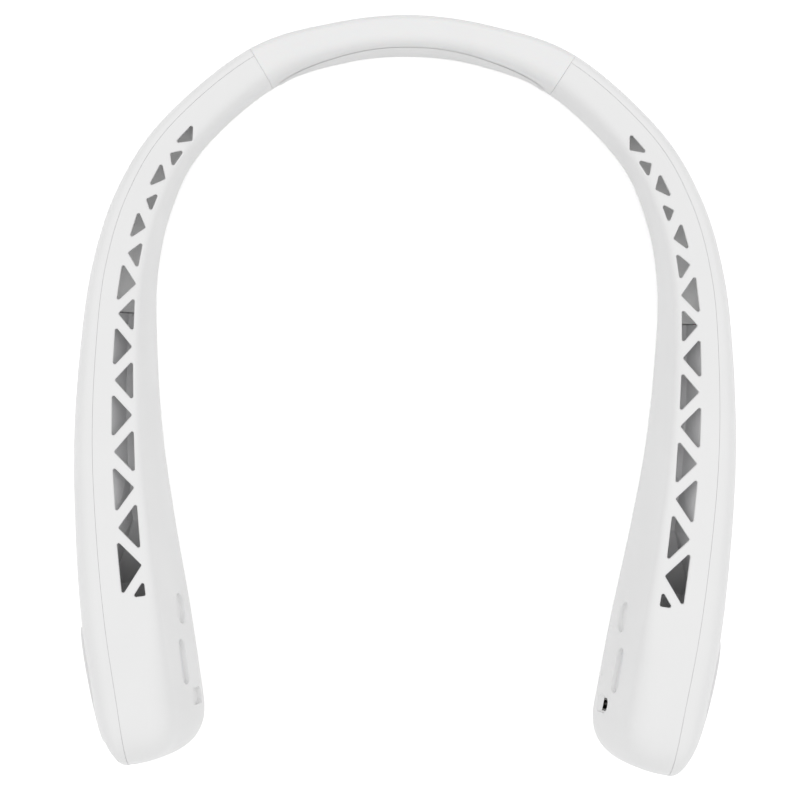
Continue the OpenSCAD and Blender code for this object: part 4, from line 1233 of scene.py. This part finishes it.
@dataclass
class Grille:
    """Round intake cover with rings of triangular holes, in millimetres."""

    arm: Arm
    radius: float = 17.0
    thickness: float = 1.2
    dome: float = 0.5
    edge: float = 0.45
    hole_radius: float = 1.45
    spigot_radius: float = 14.5
    spigot_length: float = 0.7
    spigot_wall: float = 1.0
    edge_steps: int = 5
    face_steps: int = 12
    rings: tuple[tuple[float, int], ...] = ((4.3, 8), (8.0, 15), (11.7, 22))
    hole_start: float = -2.0
    hole_inset: float = 0.44
    hole_corner: float = 0.22
    hole_rim: float = 0.18
    hole_turns: tuple[int, ...] = (-60, -20, 20, 60)

    def face(self, r: float) -> float:
        """Height of the outer face above the seat at a radius."""
        return self.thickness + self.dome * (1 - (r / self.radius) ** 2)

    def profile(self) -> list[Point]:
        """Outline of the cover.

        Returns:
            The (X, radius) points from the middle of its back to the middle of its face.
        """
        back = -self.spigot_length
        inner = self.spigot_radius - self.spigot_wall
        points = [(0.0, 0.0), (0.0, inner), (back, inner), (back, self.spigot_radius),
                  (0.0, self.spigot_radius), (0.0, self.radius)]
        centre, steps = self.radius - self.edge, self.face_steps
        for i in range(self.edge_steps + 1):
            a = math.radians(90 * i / self.edge_steps)
            points.append((self.face(centre) - self.edge * (1 - math.sin(a)),
                           centre + self.edge * math.cos(a)))
        points += [(self.face(centre * k / steps), centre * k / steps) for k in range(steps - 1, -1, -1)]
        return points

    def holes(self, seat: Matrix) -> list[bpy.types.Object]:
        """Plugs of the triangular holes, with corners and rims eased.

        Args:
            seat: the cover's frame.

        Returns:
            One plug for each ring of holes.
        """
        plugs = []
        for radius, count in self.rings:
            bm = bmesh.new()
            for i in range(count):
                turn = Matrix.Rotation(math.tau * i / count, 4, "X") @ Matrix.Translation((0, 0, radius))
                grid = loft(bm, self.hole_rings(radius, turn, flip=i % 2 == 1), closed=True)
                close_end(bm, grid[0])
                close_end(bm, grid[-1])
            bmesh.ops.recalc_face_normals(bm, faces=bm.faces[:])
            plugs.append(piece("cut_holes", bm, SMOOTH_ABS, seat))
        return plugs

    def hole_rings(self, radius: float, turn: Matrix, flip: bool) -> list[list[Vector]]:
        """Rings of one hole's plug from behind the cover to beyond its face.

        Args:
            radius: the hole's distance from the axis.
            turn: the hole's place.
            flip: whether its apex points inwards.

        Returns:
            The rings' points.
        """
        rings = []
        for x, wider in eased(self.hole_start, self.face(radius), self.hole_rim, steps=2):
            points = []
            for k in range(3):
                a = math.tau * k / 3 + (0 if flip else math.pi) - math.pi / 2
                middle = Vector((math.cos(a), math.sin(a))) * (self.hole_radius - self.hole_inset)
                for b in self.hole_turns:
                    q = a + math.radians(b)
                    p = middle + Vector((math.cos(q), math.sin(q))) * (self.hole_corner + wider)
                    points.append(turn @ Vector((x, p.x, p.y)))
            rings.append(points)
        return rings

    def build(self) -> bpy.types.Object:
        """The cover, fitted in its arm's seat.

        Returns:
            The cover.
        """
        seat = self.arm.at_fan() @ Matrix.Translation((-self.arm.cover_seat, 0, 0))
        body = turned(self.profile(), ROUND_STEPS)
        obj = piece(f"{self.arm.side.word}_intake_grille", body, SMOOTH_ABS, seat)
        carve(obj, self.holes(seat))
        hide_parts(f"{self.arm.side.word}_intake_cover")
        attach(obj, self.arm.body)
        return obj


@dataclass
class Socket:
    """Charging socket: a drawn shell, its tongue and its contacts, in millimetres."""

    arm: Arm
    wall: float = 0.35
    board: float = -8.04
    board_gap: float = 0.02
    lip: tuple[Point, ...] = ((0.15, 0.0), (0.04, -0.05), (0.0, -0.17), (0.04, -0.29))
    lip_reach: float = 1.0
    tongue_sink: float = 1.4
    tongue_thickness: float = 0.7
    tongue_edge: float = 0.12
    contact_count: int = 12
    contact_size: tuple[float, float, float] = (1.8, 0.06, 0.24)
    contact_sink: float = 1.3
    contact_pitch: float = 0.5

    @property
    def front(self) -> float:
        """Place of the shell's front edge, outwards from the arm's centre line."""
        return self.arm.form.face_u(self.arm.form.end, self.arm.port_at[1]) + self.arm.port_recess

    def shell(self) -> bpy.types.Object:
        """The drawn shell with its rolled lip, which follows the slant of its recess.

        Returns:
            The shell.
        """
        arm, front, t = self.arm, self.front, self.wall
        rows = [(self.board - self.board_gap, 0.0)]
        rows += [(front + deep, wider) for deep, wider in (*self.lip, (self.lip[0][0], -t))]
        rows.append((self.board - 2 * t, -t))
        bm = drill([stadium(arm.port_width, arm.port_height, wider) for _, wider in rows],
                   [x for x, _ in rows])
        lip = [v for v in bm.verts if v.co.x < front + self.lip_reach]
        bmesh.ops.transform(bm, matrix=arm.slant(arm.port_at[1]) @ slanted(arm.port_scoop), verts=lip)
        # The shell's dark finish is painted shade for the inside of the port.
        return piece("charging_socket_shell", bm, PAINTED_SHADE_NICKEL, arm.at_board(*arm.port_at))

    def tongue(self) -> bpy.types.Object:
        """The tongue in the middle of the shell.

        Returns:
            The tongue.
        """
        start = self.front + self.tongue_sink
        depth = self.board - 2 * self.wall - start
        bm = bmesh.new()
        bmesh.ops.create_cube(bm, size=1)
        size = (depth, self.tongue_thickness, 2 * self.arm.port_height * self.wall)
        bmesh.ops.scale(bm, vec=size, verts=bm.verts[:])
        bmesh.ops.bevel(bm, geom=bm.edges[:], offset=self.tongue_edge, segments=2, profile=0.5,
                        affect="EDGES", material=-1)
        bmesh.ops.translate(bm, vec=(start + depth / 2, 0, 0), verts=bm.verts[:])
        return piece("charging_socket_tongue", bm, BLACK_PBT, self.arm.at_board(*self.arm.port_at))

    def contacts(self) -> bpy.types.Object:
        """The contacts on both faces of the tongue.

        Returns:
            The contacts as one piece.
        """
        along_x = self.front + self.tongue_sink + self.contact_sink
        bm = bmesh.new()
        for face in (-1, 1):
            for i in range(self.contact_count):
                made = bmesh.ops.create_cube(bm, size=1)["verts"]
                bmesh.ops.scale(bm, vec=self.contact_size, verts=made)
                up = self.contact_pitch * (i - (self.contact_count - 1) / 2)
                bmesh.ops.translate(bm, vec=(along_x, face * self.tongue_thickness / 2, up), verts=made)
        return piece("charging_socket_contacts", bm, GOLD_PLATE, self.arm.at_board(*self.arm.port_at))

    def build(self) -> list[bpy.types.Object]:
        """The socket's pieces, in the recess of the right head.

        Returns:
            The shell, the tongue and the contacts.
        """
        arm = self.arm
        shell, tongue, contacts = self.shell(), self.tongue(), self.contacts()
        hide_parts("charging_port")
        for obj in (shell, tongue, contacts):
            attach(obj, arm.body)
        return [shell, tongue, contacts]


@dataclass
class Neckband:
    """Soft neckband: its silicone sleeve in two halves, the pad, and the strip and wires inside.

    Sizes are in millimetres. Each half is a piece of its own.
    """

    form: ArmForm
    gap: float = 0.025
    edge: float = 0.25
    end_steps: int = 4
    channel_wall: float = 2.8
    channel_depth: float = 6.0
    steps: int = 56
    pad_depth: float = 2.2
    pad_height: float = 14.0
    pad_station: float = 1.88
    pad_low: float = 3.0
    pad_min: float = 0.3
    pad_gap: float = 0.02
    pad_end_share: float = 0.55
    pad_power: float = 2.0
    pad_steps: int = 48
    pad_round_steps: int = 24
    core_height: float = 9.0
    core_thickness: float = 0.6
    core_u: float = 1.1
    core_station: float = 2.36
    core_steps: int = 40
    wire_radius: float = 0.7
    wire_steps: int = 16
    wire_spacing_share: float = 3.6
    bend_from: float = 20.0
    bend_to: float = 44.0

    def pad_share(self, s: float) -> float:
        """How much of the pad's depth there is at a station."""
        return max(0.0, 1 - (s / self.pad_station) ** 2)

    def bend(self, obj: bpy.types.Object) -> None:
        """Bakes a half's place into its mesh.

        Args:
            obj: the half.
        """
        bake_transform(obj)

    def sleeve(self, side: Side) -> bpy.types.Object:
        """Half of the silicone sleeve, with its end eased and closed down to the channel.

        Args:
            side: which half.

        Returns:
            The half sleeve.
        """
        form = self.form
        rings = []
        for i in range(self.steps + 1):
            s = form.seam * i / self.steps
            points = form.outline(s, self.pad_depth * self.pad_share(s))
            rings.append([form.spot(s, u, z) for u, z in points])
        back = form.ahead(form.seam)
        back = Vector((back.x, back.y, 0))
        last = rings.pop()
        middle = form.spot(form.seam, 0, form.band_height / 2)
        for i in range(self.end_steps + 1):
            a = math.radians(90 * i / self.end_steps)
            draw, lag = self.edge * (1 - math.cos(a)), self.gap + self.edge * (1 - math.sin(a))
            rings.append([self.drawn(p, middle, draw) - back * lag for p in last])
        for lag in (self.gap, self.gap + self.channel_depth):
            rings.append([self.drawn(p, middle, self.channel_wall) - back * lag for p in last])
        rings = [[Vector((p.x * side.value, p.y, p.z)) for p in ring] for ring in rings]
        bm = bmesh.new()
        grid = loft(bm, rings, closed=True)
        face_outwards(bm, grid[len(grid) // 2])
        obj = piece(f"{side.word}_sleeve_half", bm, SILICONE)
        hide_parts("neckband_sleeve")
        self.bend(obj)
        return obj

    @staticmethod
    def drawn(p: Vector, middle: Vector, by: float) -> Vector:
        """A point moved towards the middle by a length."""
        return p + (middle - p).normalized() * by

    def pad(self, side: Side) -> bpy.types.Object:
        """Half of the foamed pad on the inner face, crowned and thin at its edges.

        Args:
            side: which half.

        Returns:
            The half pad.
        """
        rings, around = [], self.pad_round_steps
        for i in range(self.pad_steps + 1):
            s = self.pad_station * i / self.pad_steps
            share = self.pad_share(s)
            half = self.form.thick(s) / 2
            back = self.pad_depth * share - self.pad_gap - half
            deep = max(back + half, self.pad_min)
            high = self.pad_height / 2 * (self.pad_end_share + (1 - self.pad_end_share) * math.sqrt(share))
            ring = []
            for k in range(around + 1):
                a = math.radians(90 + 180 * k / around)
                c = abs(math.cos(a)) if k not in (0, around) else 0.0
                p = self.form.spot(s, back - deep * c**self.pad_power,
                                   self.pad_low + self.pad_height / 2 + high * math.sin(a))
                ring.append(Vector((p.x * side.value if i else 0.0, p.y, p.z)))
            rings.append(ring)
        bm = bmesh.new()
        grid = loft(bm, rings, closed=True)
        close_end(bm, grid[-1])
        face_outwards(bm, grid[len(grid) // 2])
        obj = piece(f"{side.word}_neck_pad_half", bm, FOAMED_SILICONE)
        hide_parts("neck_pad")
        self.bend(obj)
        return obj

    def run(self, name: str, side: Side, shape: Sequence[Point], finish: "Finish") -> bpy.types.Object:
        """Half of something that lies in the sleeve's channel.

        Args:
            name: the piece's name.
            side: which half.
            shape: its section as (outwards, up) points.
            finish: its finish.

        Returns:
            The piece, closed at its far end.
        """
        bm = bmesh.new()
        rings = []
        for i in range(self.core_steps + 1):
            s = self.core_station * i / self.core_steps
            ring = [self.form.spot(s, u, z) for u, z in shape]
            rings.append([Vector((p.x * side.value, p.y, p.z)) for p in ring])
        grid = loft(bm, rings, closed=True)
        close_end(bm, grid[-1])
        face_outwards(bm, grid[len(grid) // 2])
        obj = piece(name, bm, finish)
        self.bend(obj)
        return obj

    def insides(self, side: Side) -> list[bpy.types.Object]:
        """The spring strip and the two supply wires of one half.

        Args:
            side: which half.

        Returns:
            The strip and the wires.
        """
        up = self.form.band_height / 2
        w, h = self.core_thickness / 2, self.core_height / 2
        box = [(self.core_u + a * w, up + b * h) for a, b in ((1, -1), (1, 1), (-1, 1), (-1, -1))]
        strip = self.run(f"{side.word}_spring_strip", side, box, SPRING_STEEL)
        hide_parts("core_strip")
        pieces = [strip]
        r = self.wire_radius
        apart = (self.core_height + self.wire_spacing_share * r) / 2
        for word, sign in (("upper", 1), ("lower", -1)):
            circle = arc((self.core_u, up + sign * apart), (r, r), 0, 360, self.wire_steps, 2)[:-1]
            wire = self.run(f"{side.word}_{word}_supply_wire", side, circle, WIRE_SKIN)
            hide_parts("band_wires")
            pieces.append(wire)
        return pieces


@dataclass
class Insides:
    """The hidden pieces, which keep their solids and get their finishes."""

    nodes: dict[str, bpy.types.Object]

    FINISHES = {
        "fan_housing": HOUSING_ABS, "inlet_plate": HOUSING_ABS, "impeller": ROTOR_PP,
        "magnet_cup": ZINC_STEEL, "ring_magnet": FERRITE, "motor_shaft": ZINC_STEEL,
        "motor_bush": BRONZE, "stator": COPPER_WIRE,
        # The front liner gets the lighter, glowing copy of the liner's finish: painted light.
        "motor_board": SOLDER_MASK, "front_liner": PAINTED_LIGHT_LINER_ABS, "duct_liner": LINER_ABS,
        "lithium_cell": SHRINK_WRAP, "control_board": SOLDER_MASK, "tact_switch": BLACK_PBT,
        "switch_plunger": BLACK_PBT, "core_clamp": BLACK_PBT, "clamp_screws": ZINC_STEEL,
        "housing_screws": ZINC_STEEL, "arm_wires": WIRE_SKIN,
    }

    def dress(self) -> int:
        """Gives each hidden node its finish.

        Returns:
            The number of nodes dressed.
        """
        for side in Side:
            for node, finish in self.FINISHES.items():
                obj = self.nodes[f"{side.word}_{node}"]
                obj.data.materials.clear()
                obj.data.materials.append(finish.material())
        return 2 * len(self.FINISHES)


# Studio


@dataclass(frozen=True)
class Studio:
    """Floor, lights and camera. The camera's place comes from the photograph.

    Lengths are in millimetres, apart from the clip distances and the softboxes, which are in metres. A
    softbox has a name, a place, the length of its side and its power in watts.
    """

    distance: float = 1250.0
    scale: float = 0.288
    frame_pixels: int = 800
    sensor: float = 36.0
    tilt: float = 0.66
    roll: float = -1.2
    shift: tuple[float, float] = (1.7, 1.5)
    aim: tuple[float, float, float] = (0.0, -1.45, 28.0)
    clip: tuple[float, float] = (0.01, 50.0)
    floor_size: float = 6000.0
    floor_drop: float = 0.05
    paper: tuple[float, float, float, float] = (0.58, 0.58, 0.58, 1.0)
    white: tuple[float, float, float, float] = (1.5, 1.5, 1.5, 1.0)
    surroundings: float = 0.92
    softboxes: tuple[tuple[str, tuple[float, float, float], float, float], ...] = (
        ("top_softbox", (0.0, 0.15, 1.3), 1.1, 1.55),
        ("left_softbox", (-1.2, 0.3, 0.7), 0.9, 0.6),
        ("right_softbox", (1.2, -0.2, 0.7), 0.9, 0.6),
    )

    def camera(self) -> bpy.types.Object:
        """A long lens straight above the fan, turned as the photograph is.

        Returns:
            The camera.
        """
        data = bpy.data.cameras.new("camera")
        data.sensor_width = self.sensor
        data.lens = self.distance / self.scale * self.sensor / self.frame_pixels
        data.clip_start, data.clip_end = self.clip
        roll = Matrix.Rotation(math.radians(self.roll), 4, "Z")
        back = (roll @ Matrix.Rotation(math.radians(self.tilt), 4, "Y")).inverted()
        eye = back @ Vector((-self.shift[0], -self.shift[1], self.distance)) + Vector(self.aim)
        camera = bpy.data.objects.new("camera", data)
        camera.matrix_world = Matrix.Translation(eye * MM) @ back
        bpy.context.scene.collection.objects.link(camera)
        bpy.context.scene.camera = camera
        return camera

    def floor(self) -> bpy.types.Object:
        """A pale floor that lights the fan as paper does and that the camera and reflections see as white.

        Returns:
            The floor.
        """
        bm = bmesh.new()
        bmesh.ops.create_grid(bm, x_segments=1, y_segments=1, size=self.floor_size / 2)
        bmesh.ops.translate(bm, vec=(0, 0, -self.floor_drop), verts=bm.verts[:])
        bmesh.ops.scale(bm, vec=(MM, MM, MM), verts=bm.verts[:])
        mesh = bpy.data.meshes.new("studio_floor")
        bm.to_mesh(mesh)
        bm.free()
        obj = bpy.data.objects.new("studio_floor", mesh)
        bpy.context.scene.collection.objects.link(obj)
        material = bpy.data.materials.new("white_paper_floor")
        material.use_nodes = True
        tree = material.node_tree
        tree.nodes.clear()
        path = add_node(tree, "ShaderNodeLightPath")
        seen = add_node(tree, "ShaderNodeMath", {"operation": "MAXIMUM"})
        tree.links.new(path.outputs["Is Camera Ray"], seen.inputs[0])
        tree.links.new(path.outputs["Is Glossy Ray"], seen.inputs[1])
        paper = add_node(tree, "ShaderNodeBsdfDiffuse", Color=self.paper)
        white = add_node(tree, "ShaderNodeBsdfDiffuse", Color=self.white)
        mix = tree.nodes.new("ShaderNodeMixShader")
        tree.links.new(seen.outputs[0], mix.inputs[0])
        tree.links.new(paper.outputs[0], mix.inputs[1])
        tree.links.new(white.outputs[0], mix.inputs[2])
        add_node(tree, "ShaderNodeOutputMaterial", Surface=mix.outputs[0])
        mesh.materials.append(material)
        return obj

    def world(self) -> None:
        """Even white surroundings."""
        world = bpy.data.worlds.new("white_studio")
        bpy.context.scene.world = world
        world.use_nodes = True
        tree = world.node_tree
        tree.nodes.clear()
        path = add_node(tree, "ShaderNodeLightPath")
        strength = add_node(tree, "ShaderNodeMapRange", Value=path.outputs["Is Camera Ray"],
                            To_Min=self.surroundings, To_Max=1.0)
        light = add_node(tree, "ShaderNodeBackground", Color=(1, 1, 1, 1),
                         Strength=strength.outputs["Result"])
        add_node(tree, "ShaderNodeOutputWorld", Surface=light.outputs["Background"])

    def lamp(self, name: str, place: Vector, size: float, power: float) -> None:
        """Adds a square softbox that looks at the fan.

        Args:
            name: its name.
            place: its place in metres.
            size: its side in metres.
            power: its power in watts.
        """
        data = bpy.data.lights.new(name, "AREA")
        data.shape, data.size, data.energy = "SQUARE", size, power
        obj = bpy.data.objects.new(name, data)
        obj.matrix_world = Matrix.Translation(place) @ (-place).to_track_quat("-Z", "Y").to_matrix().to_4x4()
        bpy.context.scene.collection.objects.link(obj)

    def build(self) -> None:
        """Sets up the floor, the lights and the view."""
        self.world()
        self.floor()
        for name, place, size, power in self.softboxes:
            self.lamp(name, Vector(place), size, power)
        bpy.context.scene.view_settings.view_transform = "Standard"


def main() -> None:
    """Builds the fan round its frame, in order, and reports each piece."""
    logging.basicConfig(level=logging.INFO, format="%(name)s: %(message)s")
    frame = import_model()
    studio = Studio()
    studio.camera()
    studio.build()
    form, outlets = ArmForm(), OutletRow()
    band = Neckband(form)
    made = []
    for side in Side:
        made += [band.sleeve(side), band.pad(side)]
        made += band.insides(side)
        arm = Arm(side, form, outlets)
        made += [arm.inner_shell(), arm.outer_shell(), Grille(arm).build(), arm.button(), arm.window()]
        if side is Side.RIGHT:
            made += Socket(arm).build()
    for obj in made:
        LOG.info("%s: %d faces", obj.name, len(obj.data.polygons))
    LOG.info("%d hidden nodes dressed", Insides(frame["nodes"]).dress())


if __name__ == "__main__":
    main()
